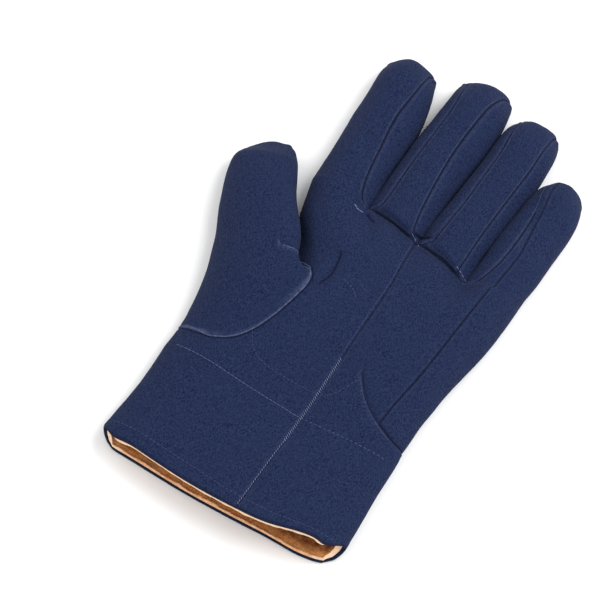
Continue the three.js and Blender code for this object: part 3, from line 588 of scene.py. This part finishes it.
def finger_piece(index, place):
    name = FINGER_NAMES[index]
    is_top = place < TOP
    is_right = TOP <= place < TOP + SIDE
    is_left = place >= 2 * TOP + SIDE
    if name == "index" and (is_top or is_left):
        return "palm_index_side"
    if name == "little" and place < TOP / 2:
        return "palm_little_side"
    if name == "little" and (is_top or is_right):
        return "back"
    if is_top:
        return name + "_finger_front"
    if is_right:
        return f"fourchette_{name}_{FINGER_NAMES[index + 1]}"
    return f"fourchette_{FINGER_NAMES[index - 1]}_{name}" if is_left else "back"


def lay_partings():
    """The points down the crotch between each two fingers."""
    row = hand[CROTCH_ROW]
    made = []
    for column in (TOP, 2 * TOP, 3 * TOP):
        head, foot = points[row["top"][column]], points[row["bottom"][COLUMNS - column]]
        wall = []
        for k in range(1, SIDE):
            x, y, z = (lerp(a, b, k / SIDE) for a, b in zip(head, foot))
            wall.append(point(x, y - PARTING_HOLLOW * math.sin(math.pi * k / SIDE), z))
        made.append(wall)
    return made


def tip_y(index, across):
    """How far a finger reaches, from -1 at its left edge to 1 at its right edge."""
    return np.interp(across, np.linspace(-1, 1, TOP + 1), [y for _, y in TIPS[index]])


def lay_finger(index, partings):
    row = hand[CROTCH_ROW]
    first = index * TOP
    right = row["right"] if index == LAST_FINGER else partings[index]
    left = row["left"] if index == 0 else partings[index - 1][::-1]
    under = row["bottom"][COLUMNS - first - TOP:COLUMNS - first + 1]
    base = row["top"][first:first + TOP + 1] + right + under + left
    height = FINGER_HEIGHTS[index]
    lower = base
    for step in FINGER_STEPS:
        edges = [along(EDGES[index], step, edge, "s") for edge in ("left", "right")]
        seams = [along(FINGER_SEAMS[index], step, seam, "s") for seam in ("left", "middle", "right")]
        axis, half = sum(edges) / 2, (edges[1] - edges[0]) / 2
        taper = clamp((step - TAPER_START) / (1 - TAPER_START))
        opening = ease(clamp(step / FINGER_ROOT))
        seam_opening = 1 - (1 - clamp(step / SEAM_ROOT)) ** 2
        thin = height * (1 - TIP_THINNING * taper ** TAPER_POWER)
        upper = []
        for place, (x, z) in enumerate(finger_ring(half, thin, seams)):
            sx, sy, sz = points[base[place]]
            share = max(opening, seam_opening) if place <= TOP else opening
            y = lerp(sy, tip_y(index, x / half), step)
            upper.append(point(lerp(sx, axis + x, share), y, lerp(sz, z, share)))
        strip(lower + lower[:1], upper + upper[:1], lambda place: finger_piece(index, place))
        lower = upper

    def seam_point(share):
        return point(*TIPS[index][round(share * TOP)], height * TIP_LOW)

    close_tip(lower, TOP, seam_point, lambda place: finger_piece(index, place))


def close_tip(ring, across, seam_point, piece_of, has_corners=True):
    """Close a finger's last ring onto the seam across its tip."""
    seam = [seam_point(k / across) for k in range(across + 1)]
    for a, b in zip(seam, seam[1:]):
        tip_creases[a, b] = TIP_CREASE
    if has_corners:
        tip_corners.append(seam[0])
    upper = seam + [seam[-1]] * (SIDE - 1) + seam[::-1] + [seam[0]] * (SIDE - 1)
    strip(ring + ring[:1], upper + upper[:1], piece_of)


def thumb_ring(section):
    """A ring of points about the thumb, from its left shoulder over the top and back underneath."""
    xl, yl, zl, xr, yr, zr, thick, corner = (THUMB[name][section] for name in THUMB)
    left_corner = 1 - 2 * HEEL_ROUND / math.hypot(xr - xl, yr - yl)

    def spot(across, rise):
        share = (across + 1) / 2
        return lerp(xl, xr, share), lerp(yl, yr, share), max(lerp(zl, zr, share) + rise * thick, 0)

    def side(sign, inner):
        made = []
        for k in range(1, SIDE):
            angle = lerp(math.acos(THUMB_SHOULDER), -math.pi / 2, k / SIDE)
            if angle > 0:
                made.append(spot(sign * math.cos(angle), THUMB_RISE * math.sin(angle)))
            else:
                made.append(spot(sign * lerp(inner, 1, math.cos(angle)), (1 - THUMB_RISE) * math.sin(angle)))
        return made

    spread = [lerp(-THUMB_SHOULDER, THUMB_SHOULDER, k / THUMB_TOP) for k in range(THUMB_TOP + 1)]
    top = [spot(across, THUMB_RISE * math.sqrt(1 - across ** 2)) for across in spread]
    under = [spot(lerp(corner, -left_corner, k / THUMB_TOP), THUMB_RISE - 1) for k in range(THUMB_TOP + 1)]
    return top + side(1, corner) + under + side(-1, left_corner)[::-1]


def lay_thumb():
    rows = hand[THUMB_FIRST:THUMB_LAST + 1]
    base = [r["top"][0] for r in rows] + rows[-1]["left"][::-1]
    base += [r["bottom"][-1] for r in rows][::-1] + rows[0]["left"]
    lower = base
    for section in range(len(THUMB["xl"])):
        share = 1 - (1 - clamp((section + 1) / THUMB_BLEND)) ** 2
        upper = []
        for start, spot in zip(base, thumb_ring(section)):
            upper.append(point(*(lerp(a, b, share) for a, b in zip(points[start], spot))))
        strip(lower + lower[:1], upper + upper[:1], lambda place: "thumb")
        lower = upper

    def seam_point(share):
        bow = 4 * share * (1 - share)
        ends = zip(THUMB_TIP["left"], THUMB_TIP["middle"], THUMB_TIP["right"])
        x, y = (lerp(a, b, share) + bow * (m - (a + b) / 2) for a, m, b in ends)
        return point(x, y, THUMB_TIP["z"])

    close_tip(lower, THUMB_TOP, seam_point, lambda place: "thumb", has_corners=False)


def new_object(name, data):
    made = bpy.data.objects.new(name, data)
    bpy.context.scene.collection.objects.link(made)
    return made


def stamp(mesh, label, values, kind="FLOAT", domain="POINT"):
    """Store one value for each point, edge or face of a mesh."""
    mesh.attributes.new(label, kind, domain).data.foreach_set("value", values)


def read(data, name, width, kind=float):
    values = np.empty(len(data) * width, np.float32 if kind is float else np.int32)
    data.foreach_get(name, values)
    return values.astype(kind).reshape(-1, width) if width > 1 else values.astype(kind)


def cloth_mesh(name, spots, faces):
    """A mesh of spots in the net's millimetres, in the part's own place and unit."""
    mesh = bpy.data.meshes.new(name)
    mesh.from_pydata(((np.array(spots) - (0, PALM_Y, 0)) * MM).tolist(), [], faces)
    return mesh


def dress(name, mesh, material, slot):
    """The mesh as a piece that moves with the glove."""
    mesh.materials.append(material)
    made = new_object(name, mesh)
    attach(made, "root")
    return made


def smoothed_net():
    """The net as one smooth surface through its own points: vertices, normals, faces and their cells."""
    corners = [tuple(dict.fromkeys(cell[0])) for cell in cells]
    target = np.array(points)
    mesh = bpy.data.meshes.new("net")
    mesh.from_pydata(target.tolist(), [], corners)
    creases = [tip_creases.get(tuple(sorted(edge.vertices)), 0) for edge in mesh.edges]
    stamp(mesh, "cell", range(len(corners)), "INT", "FACE")
    stamp(mesh, "crease_edge", creases, domain="EDGE")
    stamp(mesh, "crease_vert", [TIP_CORNER_CREASE if i in tip_corners else 0 for i in range(len(target))])
    net = new_object("net", mesh)
    net.modifiers.new("smooth", "SUBSURF").levels = SMOOTHING
    control = target.copy()
    for correction in CORRECTIONS:
        mesh.vertices.foreach_set("co", control.ravel())
        mesh.update()
        done = net.evaluated_get(bpy.context.evaluated_depsgraph_get()).to_mesh()
        place = read(done.vertices, "co", 3)
        control += correction * (target - place[:len(target)])
    normals = read(done.vertices, "normal", 3)
    faces = read(done.loops, "vertex_index", 1, int).reshape(-1, 4)
    cell = read(done.attributes["cell"].data, "value", 1, int)
    bpy.data.objects.remove(net)
    return place, normals, faces, cell


def face_edges(faces):
    return np.concatenate([faces[:, [k, (k + 1) % 4]] for k in range(4)])


def rim_edges(faces, count):
    """Directed edges of the faces that no other of these faces shares."""
    pairs = face_edges(faces)
    forward = pairs[:, 0] * count + pairs[:, 1]
    return pairs[~np.isin(forward, pairs[:, 1] * count + pairs[:, 0])]


def bell(x, width):
    return np.exp(-(x / width) ** 2)


def smooth_step(x, low, high):
    return ease(np.clip((x - low) / (high - low), 0, 1))


def distance_to_path(places, path):
    """Distance in plan from each place to a line through the path's points, and how far along it is."""
    best = np.full(len(places), np.inf)
    where = np.zeros(len(places))
    run = 0
    for (ax, ay), (bx, by) in zip(path, path[1:]):
        edge = np.array([bx - ax, by - ay])
        length = np.hypot(*edge)
        t = np.clip((places[:, :2] - (ax, ay)) @ edge / length ** 2, 0, 1)
        gap = np.hypot(*(places[:, :2] - (ax, ay) - t[:, None] * edge).T)
        closer = gap < best
        best[closer] = gap[closer]
        where[closer] = run + t[closer] * length
        run += length
    return best, where / run


def rounded(path, step):
    """Points a step apart along a smooth curve through the path's points."""
    path = np.array(path, float)
    ends = np.concatenate([[2 * path[0] - path[1]], path, [2 * path[-1] - path[-2]]])
    fine = []
    for a, b, c, d in zip(ends, ends[1:], ends[2:], ends[3:]):
        for t in np.arange(0, 1, CURVE_STEP):
            fine.append(0.5 * (2 * b + (c - a) * t + (2 * a - 5 * b + 4 * c - d) * t ** 2
                               + (3 * b - a - 3 * c + d) * t ** 3))
    fine = np.array(fine + [path[-1]])
    run = np.concatenate([[0], np.cumsum(np.hypot(*np.diff(fine, axis=0).T))])
    at = np.arange(0, run[-1], step)
    return np.column_stack([np.interp(at, run, fine[:, k]) for k in range(2)])


def directions(line):
    """The way a line runs at each of its points, and the way to its left."""
    ways = np.gradient(line, axis=0)
    ways /= np.hypot(*ways.T)[:, None]
    return ways, np.column_stack([-ways[:, 1], ways[:, 0]])


def landing(surface, x, y, is_below=False):
    """Where a plumb line from above or below meets the cloth, and the way that the cloth faces there."""
    start, way = (BELOW, 1) if is_below else (ABOVE, -1)
    hit, facing, _, _ = surface.ray_cast(Vector((x, y, start)), Vector((0, 0, way)))
    return hit, facing


def seam_kind(a, b, y):
    pair = {a, b}
    if "thumb" in pair:
        return "thumb"
    if pair == PALMS:
        return "centre"
    if pair & PALMS and pair & CROSS_FRONTS:
        return "cross"
    if pair == {"palm_little_side", "back"}:
        return "side"
    is_joined = pair == {"fourchette_ring_little", "palm_little_side"} and y > JOINED_FROM
    return "joined" if is_joined else "finger"


def sampled_seams(place, faces, piece):
    """Points close together along every seam, with the numbers of the two pieces that meet there."""
    pairs = face_edges(faces)
    owner = np.tile(np.arange(len(faces)), 4)
    key = np.sort(pairs, axis=1) @ (len(place), 1)
    order = np.argsort(key, kind="stable")
    twins = key[order][1:] == key[order][:-1]
    first, second = order[:-1][twins], order[1:][twins]
    between = piece[owner[first]] != piece[owner[second]]
    first, second = first[between], second[between]
    ends = place[pairs[first]]
    spots = np.concatenate([lerp(ends[:, 0], ends[:, 1], t) for t in SEAM_SAMPLES])
    sides = np.column_stack([piece[owner[first]], piece[owner[second]]])
    return spots, np.tile(sides, (len(SEAM_SAMPLES), 1))


def sampled_lines(place, faces, piece):
    """Points along every seam and crease, the pieces and the kind of each, and the way to a crease's left."""
    spots, sides = sampled_seams(place, faces, piece)
    kinds = [seam_kind(PIECES[a], PIECES[b], y) for (a, b), y in zip(sides, spots[:, 1])]
    lefts = [np.zeros_like(spots)]
    surface = BVHTree.FromPolygons([Vector(spot) for spot in place], faces.tolist())
    for kind, path in CREASES:
        line = rounded(path, CREASE_STEP)
        spots = np.concatenate([spots, [landing(surface, x, y)[0] for x, y in line]])
        kinds += [kind] * len(line)
        lefts.append(np.pad(directions(line)[1], ((0, 0), (0, 1))))
    everywhere = np.full((len(kinds) - len(sides), 2), EVERY_PIECE)
    return spots, np.concatenate([sides, everywhere]), np.array(kinds), np.concatenate(lefts)


def nearest(samples, places):
    """For each place the nearest of the samples, as its number and distance."""
    tree = KDTree(len(samples))
    for i, sample in enumerate(samples):
        tree.insert(sample, i)
    tree.balance()
    found = [tree.find(spot) for spot in places]
    return np.array([f[1] for f in found]), np.array([f[2] for f in found])


def noise_at(places, pitch, shift=0.0):
    return np.array([noise.noise(Vector(spot) / pitch + Vector((shift, shift, shift))) for spot in places])


def sculpted(place, normals, faces, piece):
    """The cloth's outer skin with seams, puckers and folds, how worn each point is, and how much painted
    shade it takes.
    """
    spots, sides, kinds, lefts = sampled_lines(place, faces, piece)
    shape = dict(zip(SEAM_SHAPE, np.array([SEAMS[kind] for kind in kinds]).T))
    pucker = noise_at(spots, PUCKER_PITCH) + 0.5 * noise_at(spots, PUCKER_PITCH / 2, 7)
    rise, wear, painted_shade = np.zeros((3, len(place)))
    moved = place.copy()
    for number, name in enumerate(PIECES):
        mine = np.unique(faces[piece == number])
        own = np.flatnonzero(((sides == number) | (sides == EVERY_PIECE)).any(axis=1))
        found, distance = nearest(spots[own], place[mine])
        found = own[found]
        to_left = np.einsum("ij,ij->i", place[mine] - spots[found], lefts[found])
        lit = (to_left >= 0) & ((kinds[found] != "thumb") | (name == "thumb"))
        share = np.clip(distance / CROWD_REACH, 0, 1) ** (CROWD_POWER - 1)
        moved[mine] = spots[found] + (place[mine] - spots[found]) * share[:, None]
        distance = distance * share
        beside = lit * bell(distance - RIDGE_AT, RIDGE_WIDTH)
        rise[mine] = shape["ridge"][found] * beside - shape["sink"][found] * bell(distance, SINK_WIDTH)
        rise[mine] -= ROUND_SINK * bell(distance, ROUND_WIDTH)
        if name.startswith("fourchette"):
            rise[mine] += TOUCH * np.clip(distance / TOUCH_REACH, 0, 1)
        rise[mine] += shape["pucker"][found] * pucker[found] * np.exp(-distance / PUCKER_REACH)
        wear[mine] = shape["pale"][found] * beside
        # Painted shade along each seam and crease.
        painted_shade[mine] = shape["shade_strength"][found] * bell(distance, shape["shade_width"][found])
    rise += SWELL * noise_at(place, SWELL_PITCH) + RIPPLE * noise_at(place, RIPPLE_PITCH, 3)
    on_top = (normals[:, 2] > FACING_UP) & (place[:, 2] > WAIST)
    for path, height, width in FOLDS:
        gap, where = distance_to_path(moved, path)
        fade = np.sin(np.pi * np.clip(where, 0, 1)) ** 0.5
        rise += np.where(on_top, height * bell(gap, width) * fade, 0)
    _, from_lip = nearest(place[rim_edges(faces, len(place))[:, 0]], place)
    rise += HEM_SWELL * (1 - smooth_step(from_lip, HEM_STITCH, HEM_STITCH + HEM_EDGE))
    rise -= HEM_SINK * bell(from_lip - HEM_STITCH, HEM_SINK_WIDTH)
    rise -= HEM_ROUND * bell(from_lip, HEM_ROUND_WIDTH)
    # Painted shadow along the cuff's edge.
    painted_shade = np.maximum(painted_shade, LIP_DARK * bell(from_lip, LIP_DARK_WIDTH))
    skin = moved + normals * rise[:, None]
    skin[:, 2] = np.maximum(skin[:, 2], FLOOR_GAP)
    return moved, skin, from_lip, {"wear": np.clip(wear, 0, 1), "painted_shade": np.clip(painted_shade, 0, 1)}


def wall(name, outer, inner, faces, attributes, material, slot):
    """A closed wall of cloth between two skins that share their faces, standing in for a CAD node."""
    used, local = np.unique(faces, return_inverse=True)
    local = local.reshape(-1, 4)
    count = len(used)
    rim = rim_edges(local, count)
    sides = np.column_stack([rim[:, 1], rim[:, 0], rim[:, 0] + count, rim[:, 1] + count])
    quads = np.concatenate([local, local[:, ::-1] + count, sides])
    mesh = cloth_mesh(name + "_cloth", np.concatenate([outer[used], inner[used]]), quads.tolist())
    mesh.validate()
    for label, values in attributes.items():
        stamp(mesh, label, np.tile(values[used], 2))
    mesh.shade_smooth()
    mesh.set_sharp_from_angle(angle=SHARP)
    cloth = dress(name + "_cloth", mesh, material, slot)
    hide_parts(name)


def sewn_panels(moved, skin, normals, faces, piece, attributes, material):
    """The denim's pieces, each held back a little from its seams."""
    inner = moved - normals * DENIM
    inner[:, 2] = np.maximum(inner[:, 2], 2 * FLOOR_GAP)
    for number, name in enumerate(PIECES):
        mine = faces[piece == number]
        rim = rim_edges(mine, len(moved))
        pull = np.zeros_like(moved)
        inwards = np.cross(normals[rim[:, 0]], moved[rim[:, 1]] - moved[rim[:, 0]])
        inwards /= np.linalg.norm(inwards, axis=1, keepdims=True) + TINY
        for end in (0, 1):
            np.add.at(pull, rim[:, end], inwards)
        pull *= PANEL_GAP / (np.linalg.norm(pull, axis=1, keepdims=True) + TINY)
        wall(name, skin + pull, inner + pull, mine, attributes, material, "denim")


def cuff_lining(moved, normals, faces, row, from_lip, material):
    """The fleece sleeve, thicker and paler at its turned edge, with a rough inner face."""
    mine = faces[row < LINING_ROWS]
    used = np.unique(mine)
    fluff, crumple = np.zeros((2, len(moved)))
    fluff[used] = FLUFF * (noise_at(moved[used], FLUFF_PITCH) + 0.5 * noise_at(moved[used], FLUFF_PITCH / 3))
    crumple[used] = CRUMPLE * noise_at(moved[used], CRUMPLE_PITCH, 5)
    depth = DENIM + SEAM
    thick = FLEECE + fluff + LINING_ROLL * bell(from_lip, ROLL_WIDTH)
    inset = np.zeros_like(moved)
    inset[:, 1] = LINING_INSET * bell(from_lip, INSET_WIDTH)
    outer = moved + inset - normals * depth
    inner = moved + inset - normals * (depth + thick + np.maximum(crumple, 0))[:, None]
    lower_cream = bell(from_lip, LOWER_PALE)
    rise = smooth_step(moved[:, 2], *CREAM_RISE)
    middle_cream = lerp(LOWER_CREAM * lower_cream, bell(from_lip, UPPER_PALE), rise)
    attributes = {
        "edge": lerp(middle_cream, lower_cream, smooth_step(np.abs(moved[:, 0]), *CREAM_SIDES)),
        # How much painted shade the lining takes, more further inside the cuff.
        "depth": smooth_step(from_lip, *FLEECE_SHADE_REACH),
    }
    wall("cuff_lining", outer, inner, mine, attributes, material, "lining")


class Nodes:
    """A material with a Principled shader, and short ways to add and join its nodes."""

    def __init__(self, name, **constants):
        self.material = bpy.data.materials.new(name)
        self.material.use_nodes = True
        self.tree = self.material.node_tree
        self.shader = self.tree.nodes["Principled BSDF"]
        for socket, value in constants.items():
            self.shader.inputs[socket.replace("_", " ")].default_value = value
        self.place = self.add("ShaderNodeTexCoord").outputs["Object"]

    def add(self, kind, inputs=None, **settings):
        node = self.tree.nodes.new(kind)
        for name, value in settings.items():
            setattr(node, name, value)
        for name, value in (inputs or {}).items():
            self.put(node.inputs[name], value)
        return node

    def put(self, socket, value):
        if isinstance(value, bpy.types.NodeSocket):
            self.tree.links.new(value, socket)
        else:
            socket.default_value = value

    def finish(self, colour, normal):
        """Join a colour and bumps to the shader."""
        self.put(self.shader.inputs["Base Color"], colour)
        self.put(self.shader.inputs["Normal"], normal)
        return self.material

    def noise(self, pitch, detail=2, roughness=0.5, place=None):
        inputs = {
            "Vector": place or self.place,
            "Scale": 1 / (pitch * MM),
            "Detail": detail,
            "Roughness": roughness,
        }
        return self.add("ShaderNodeTexNoise", inputs).outputs["Fac"]

    def spread(self, value, span, reach=(0, 1)):
        names = ("Value", "From Min", "From Max", "To Min", "To Max")
        return self.add("ShaderNodeMapRange", dict(zip(names, (value, *span, *reach)))).outputs["Result"]

    def mottle(self, pitch, detail=2, roughness=0.5, span=(0.35, 0.65), reach=(0, 1), place=None):
        """Noise with its contrast raised: the span of its values is spread over the reach."""
        return self.spread(self.noise(pitch, detail, roughness, place), span, reach)

    def math(self, operation, a, b):
        return self.add("ShaderNodeMath", {0: a, 1: b}, operation=operation).outputs["Value"]

    def mix(self, factor, a, b):
        node = self.add("ShaderNodeMix", data_type="RGBA")
        for socket, value in zip(("Factor_Float", "A_Color", "B_Color"), (factor, a, b)):
            self.put(next(i for i in node.inputs if i.identifier == socket), value)
        return next(o for o in node.outputs if o.identifier == "Result_Color")

    def attribute(self, name):
        return self.add("ShaderNodeAttribute", attribute_name=name).outputs["Fac"]

    def turned(self, scale=(1, 1, 1)):
        """The place on the cloth, turned so that x runs across the twill."""
        inputs = {"Vector": self.place, "Rotation": (0, 0, TWILL_ANGLE), "Scale": scale}
        return self.add("ShaderNodeMapping", inputs).outputs["Vector"]

    def bump(self, height, depth, strength, under=None):
        inputs = {"Height": height, "Distance": depth * MM, "Strength": strength}
        if under is not None:
            inputs["Normal"] = under
        return self.add("ShaderNodeBump", inputs).outputs["Normal"]


def denim_material():
    """Navy twill: fine slanted ribs, a mottled dye, paler on worn ridges, and darkened by painted shade along
    its seams, creases and cuff edge.
    """
    nodes = Nodes("denim_twill", Roughness=0.9, Specular_IOR_Level=0.1, Sheen_Weight=0.02,
                  Sheen_Roughness=0.5)
    speck = nodes.mottle(SPECK_PITCH, 1, span=SPECK_SPAN, place=nodes.turned((1, SPECK_STRETCH, 1)))
    cloud = nodes.math("MULTIPLY", nodes.mottle(CLOUD_PITCH, 3, 0.55), CLOUD_MIX)
    worn = nodes.mottle(WEAR_PITCH, span=SOFT_SPAN, reach=WEAR_RANGE)
    colour = nodes.mix(cloud, nodes.mix(speck, NAVY_DARK, NAVY_LIGHT), NAVY_FADED)
    colour = nodes.mix(nodes.math("MULTIPLY", nodes.attribute("wear"), worn), colour, NAVY_WORN)
    # Painted shade in the seams, creases and along the cuff's edge.
    colour = nodes.mix(nodes.math("MULTIPLY", nodes.attribute("painted_shade"), PAINTED_SHADE_MIX), colour, NAVY_PAINTED_SHADE)
    ribs = nodes.add("ShaderNodeTexWave", {
        "Vector": nodes.turned(),
        "Scale": WAVE_SCALE / (TWILL_PITCH * MM),
        "Distortion": 1.2,
        "Detail": 1,
        "Detail Scale": 2,
    })
    twill = nodes.bump(ribs.outputs["Fac"], TWILL_DEPTH, TWILL_STRENGTH)
    yarn = nodes.bump(nodes.noise(YARN[0], 1), *YARN[1:], twill)
    return nodes.finish(colour, nodes.bump(nodes.noise(LUMPS[0]), *LUMPS[1:], yarn))


def fleece_material():
    """Brushed tan fleece, deep orange in its hollows, darkened by painted shade inside the cuff, and almost
    cream along its turned edge.
    """
    nodes = Nodes("tan_fleece", Roughness=0.95, Specular_IOR_Level=0.1, Sheen_Weight=0.08,
                  Sheen_Roughness=0.6)
    patch = nodes.math("MULTIPLY", nodes.mottle(PATCH_PITCH), PATCH_MIX)
    streak = nodes.mottle(STREAK_PITCH, 3, 0.6, reach=STREAK_RANGE)
    fray = nodes.mottle(FRAY_PITCH, span=SOFT_SPAN, reach=FRAY_RANGE)
    cream = nodes.spread(nodes.math("ADD", nodes.attribute("edge"), fray), CREAM_SPAN)
    colour = nodes.mix(nodes.mottle(TUFT_PITCH, 3, 0.65), FLEECE_DEEP, FLEECE_TAN)
    colour = nodes.mix(patch, colour, FLEECE_LIGHT)
    # Painted shade, in streaks, further inside the cuff.
    colour = nodes.mix(nodes.math("MULTIPLY", nodes.attribute("depth"), streak), colour, FLEECE_PAINTED_SHADE)
    colour = nodes.mix(cream, colour, FLEECE_CREAM)
    fur = nodes.bump(nodes.noise(FUR[0], 3, 0.7), *FUR[1:])
    return nodes.finish(colour, nodes.bump(nodes.noise(FUR_LUMPS[0]), *FUR_LUMPS[1:], fur))


def thread_material(name, colour):
    nodes = Nodes(name, Roughness=0.8, Specular_IOR_Level=0.3)
    strand = nodes.mottle(STRAND_PITCH, 1, span=SOFT_SPAN, reach=STRAND_RANGE)
    shade = nodes.add("ShaderNodeHueSaturation", {"Color": colour, "Value": strand}).outputs["Color"]
    return nodes.finish(shade, nodes.bump(nodes.noise(TWIST[0], 1), *TWIST[1:]))


def add_tube(spots, quads, rings):
    """A closed tube. Each ring is its middle, half its width to one side and half its height."""
    first = len(spots)
    for middle, across, upward in rings:
        for k in range(TUBE_SIDES):
            angle = 2 * math.pi * k / TUBE_SIDES
            spots.append(middle + math.cos(angle) * across + math.sin(angle) * upward)
    last = len(spots) - TUBE_SIDES
    for start in range(first, last, TUBE_SIDES):
        for k in range(TUBE_SIDES):
            a, b = start + k, start + (k + 1) % TUBE_SIDES
            quads.append((a, a + TUBE_SIDES, b + TUBE_SIDES, b))
    quads.append(tuple(range(first, first + TUBE_SIDES)))
    quads.append(tuple(reversed(range(last, last + TUBE_SIDES))))


def stitch_rings(row, middle, half, surface):
    """The rings of one stitch, whose ends dip into the cloth, or none where it would miss the cloth."""
    landings = [landing(surface, *(middle + share * half), row["is_below"]) for share, _, _ in THREAD_RINGS]
    if any(hit is None for hit, _ in landings):
        return []
    radius = row["radius"]
    centres = [hit + facing * (lift * radius) for (hit, facing), (_, _, lift) in zip(landings, THREAD_RINGS)]
    way = (centres[-1] - centres[0]).normalized()
    across = way.cross(landings[len(landings) // 2][1]).normalized()
    upward = across.cross(way)
    sizes = [size * radius for _, size, _ in THREAD_RINGS]
    return [(centre, size * across, size * upward) for centre, size in zip(centres, sizes)]


def stitches(name, rows, surface, material):
    """Rows of stitches on the cloth, in one mesh."""
    spots, quads = [], []
    for row in rows:
        line = rounded(row["path"], row["pitch"])
        ways, lefts = directions(line)
        halves = (math.cos(row["slant"]) * ways + math.sin(row["slant"]) * lefts) * row["length"] / 2
        for middle, half in zip(line + row["aside"] * lefts, halves):
            rings = stitch_rings(row, middle, half, surface)
            if rings:
                add_tube(spots, quads, rings)
    mesh = cloth_mesh(name, spots, quads)
    mesh.shade_smooth()
    dress(name, mesh, material, "denim")


def finger_seam_paths():
    """The seams along the tops of the fingers, in plan, each run so that its ridge is on its left."""
    paths = []
    for index in range(len(FINGER_NAMES)):
        for side in ["left"] * (index > 0) + ["right"] * (index < LAST_FINGER):
            path = []
            for step in np.linspace(*RIDGE_REACH, RIDGE_POINTS):
                left, right = (along(EDGES[index], step, edge, "s") for edge in ("left", "right"))
                share = along(FINGER_SEAMS[index], step, side, "s")
                column = index * TOP + (TOP if side == "right" else 0)
                y = lerp(row_y(CROTCH_ROW, column), tip_y(index, share), step)
                path.append(((left + right) / 2 + (right - left) / 2 * share, y))
            paths.append(path if side == "right" or index == LAST_FINGER else path[::-1])
    return paths


def ridge(name, paths, surface, material):
    """Thin raised edges of cloth that lie on the surface beside the paths."""
    shape = RIDGES[name]
    spots, quads = [], []
    for path in paths:
        line = rounded(path, RIDGE_STEP)
        ways, lefts = directions(line)
        rings = []
        for number, ((x, y), way) in enumerate(zip(line + shape["aside"] * lefts, ways)):
            hit, facing = landing(surface, x, y)
            from_end = min(number, len(line) - 1 - number) / RIDGE_FADE
            size = shape["radius"] * min(1, RIDGE_END + from_end)
            across = Vector((*way, 0)).cross(facing).normalized()
            rings.append((hit, size * across, size * RIDGE_FLAT * facing))
        add_tube(spots, quads, rings)
    mesh = cloth_mesh(name, spots, quads)
    stamp(mesh, "wear", [shape["wear"]] * len(spots))
    stamp(mesh, "painted_shade", [0] * len(spots))
    mesh.shade_smooth()
    dress(name, mesh, material, "denim")


def studio():
    """The pale floor, soft lights from the right and above, and the camera at the photograph's angle."""
    floor_mesh = bpy.data.meshes.new("floor")
    corners = [(x * FLOOR_REACH, y * FLOOR_REACH, 0) for x, y in ((-1, -1), (1, -1), (1, 1), (-1, 1))]
    floor_mesh.from_pydata(corners, [], [(0, 1, 2, 3)])
    white = Nodes("floor_white", Roughness=0.9, Base_Color=FLOOR_WHITE, Specular_IOR_Level=0.1)
    floor_mesh.materials.append(white.material)
    floor = new_object("floor", floor_mesh)
    for name, place, size, power in LIGHTS:
        light = bpy.data.lights.new(name, "AREA")
        light.size = size
        light.energy = power
        lamp = new_object(name, light)
        lamp.location = place
        lamp.rotation_euler = (-Vector(place)).to_track_quat("-Z", "Y").to_euler()
    world = bpy.data.worlds.new("soft_white")
    world.use_nodes = True
    sky = world.node_tree.nodes["Background"].inputs
    sky["Color"].default_value = (1, 1, 1, 1)
    sky["Strength"].default_value = WORLD_STRENGTH
    bpy.context.scene.world = world
    bpy.context.scene.view_settings.view_transform = "Standard"
    turn, tilt = math.radians(VIEW_AZIMUTH), math.radians(VIEW_ELEVATION)
    look = Vector((-math.sin(turn) * math.cos(tilt), math.cos(turn) * math.cos(tilt), -math.sin(tilt)))
    right = Vector((math.cos(turn), math.sin(turn), 0))
    up = right.cross(look)
    across, down = (MARK_PIXEL[k] - PICTURE / 2 for k in (0, 1))
    aim = Vector(MARK) - right * (across / PIXELS_PER_MM) + up * (down / PIXELS_PER_MM)
    lens = bpy.data.cameras.new("camera")
    lens.sensor_width = SENSOR
    lens.lens = SENSOR * VIEW_DISTANCE * PIXELS_PER_MM / PICTURE
    lens.clip_start, lens.clip_end = CLIP
    camera = new_object("camera", lens)
    camera.location = (aim - look * VIEW_DISTANCE) * MM
    camera.rotation_euler = look.to_track_quat("-Z", "Y").to_euler()
    bpy.context.scene.camera = camera


def main():
    lay_hand()
    partings = lay_partings()
    for index in range(len(FINGER_NAMES)):
        lay_finger(index, partings)
    lay_thumb()
    place, normals, faces, cell = smoothed_net()
    piece = np.array([PIECES.index(name) for _, name, _ in cells])[cell]
    row = np.array([number for _, _, number in cells])[cell]
    moved, skin, from_lip, attributes = sculpted(place, normals, faces, piece)
    denim = denim_material()
    sewn_panels(moved, skin, normals, faces, piece, attributes, denim)
    cuff_lining(moved, normals, faces, row, from_lip, fleece_material())
    surface = BVHTree.FromPolygons([Vector(spot) for spot in skin], faces.tolist())
    ridge("thumb_ridge", [THUMB_RIDGE], surface, denim)
    ridge("heel_ridge", [HEEL_RIDGE], surface, denim)
    ridge("finger_ridges", finger_seam_paths(), surface, denim)
    threads = {name: thread_material(name, colour) for name, colour in THREAD_COLOURS.items()}
    for name, (thread, rows) in STITCHES.items():
        stitches(name, rows, surface, threads[thread])
    studio()


main()
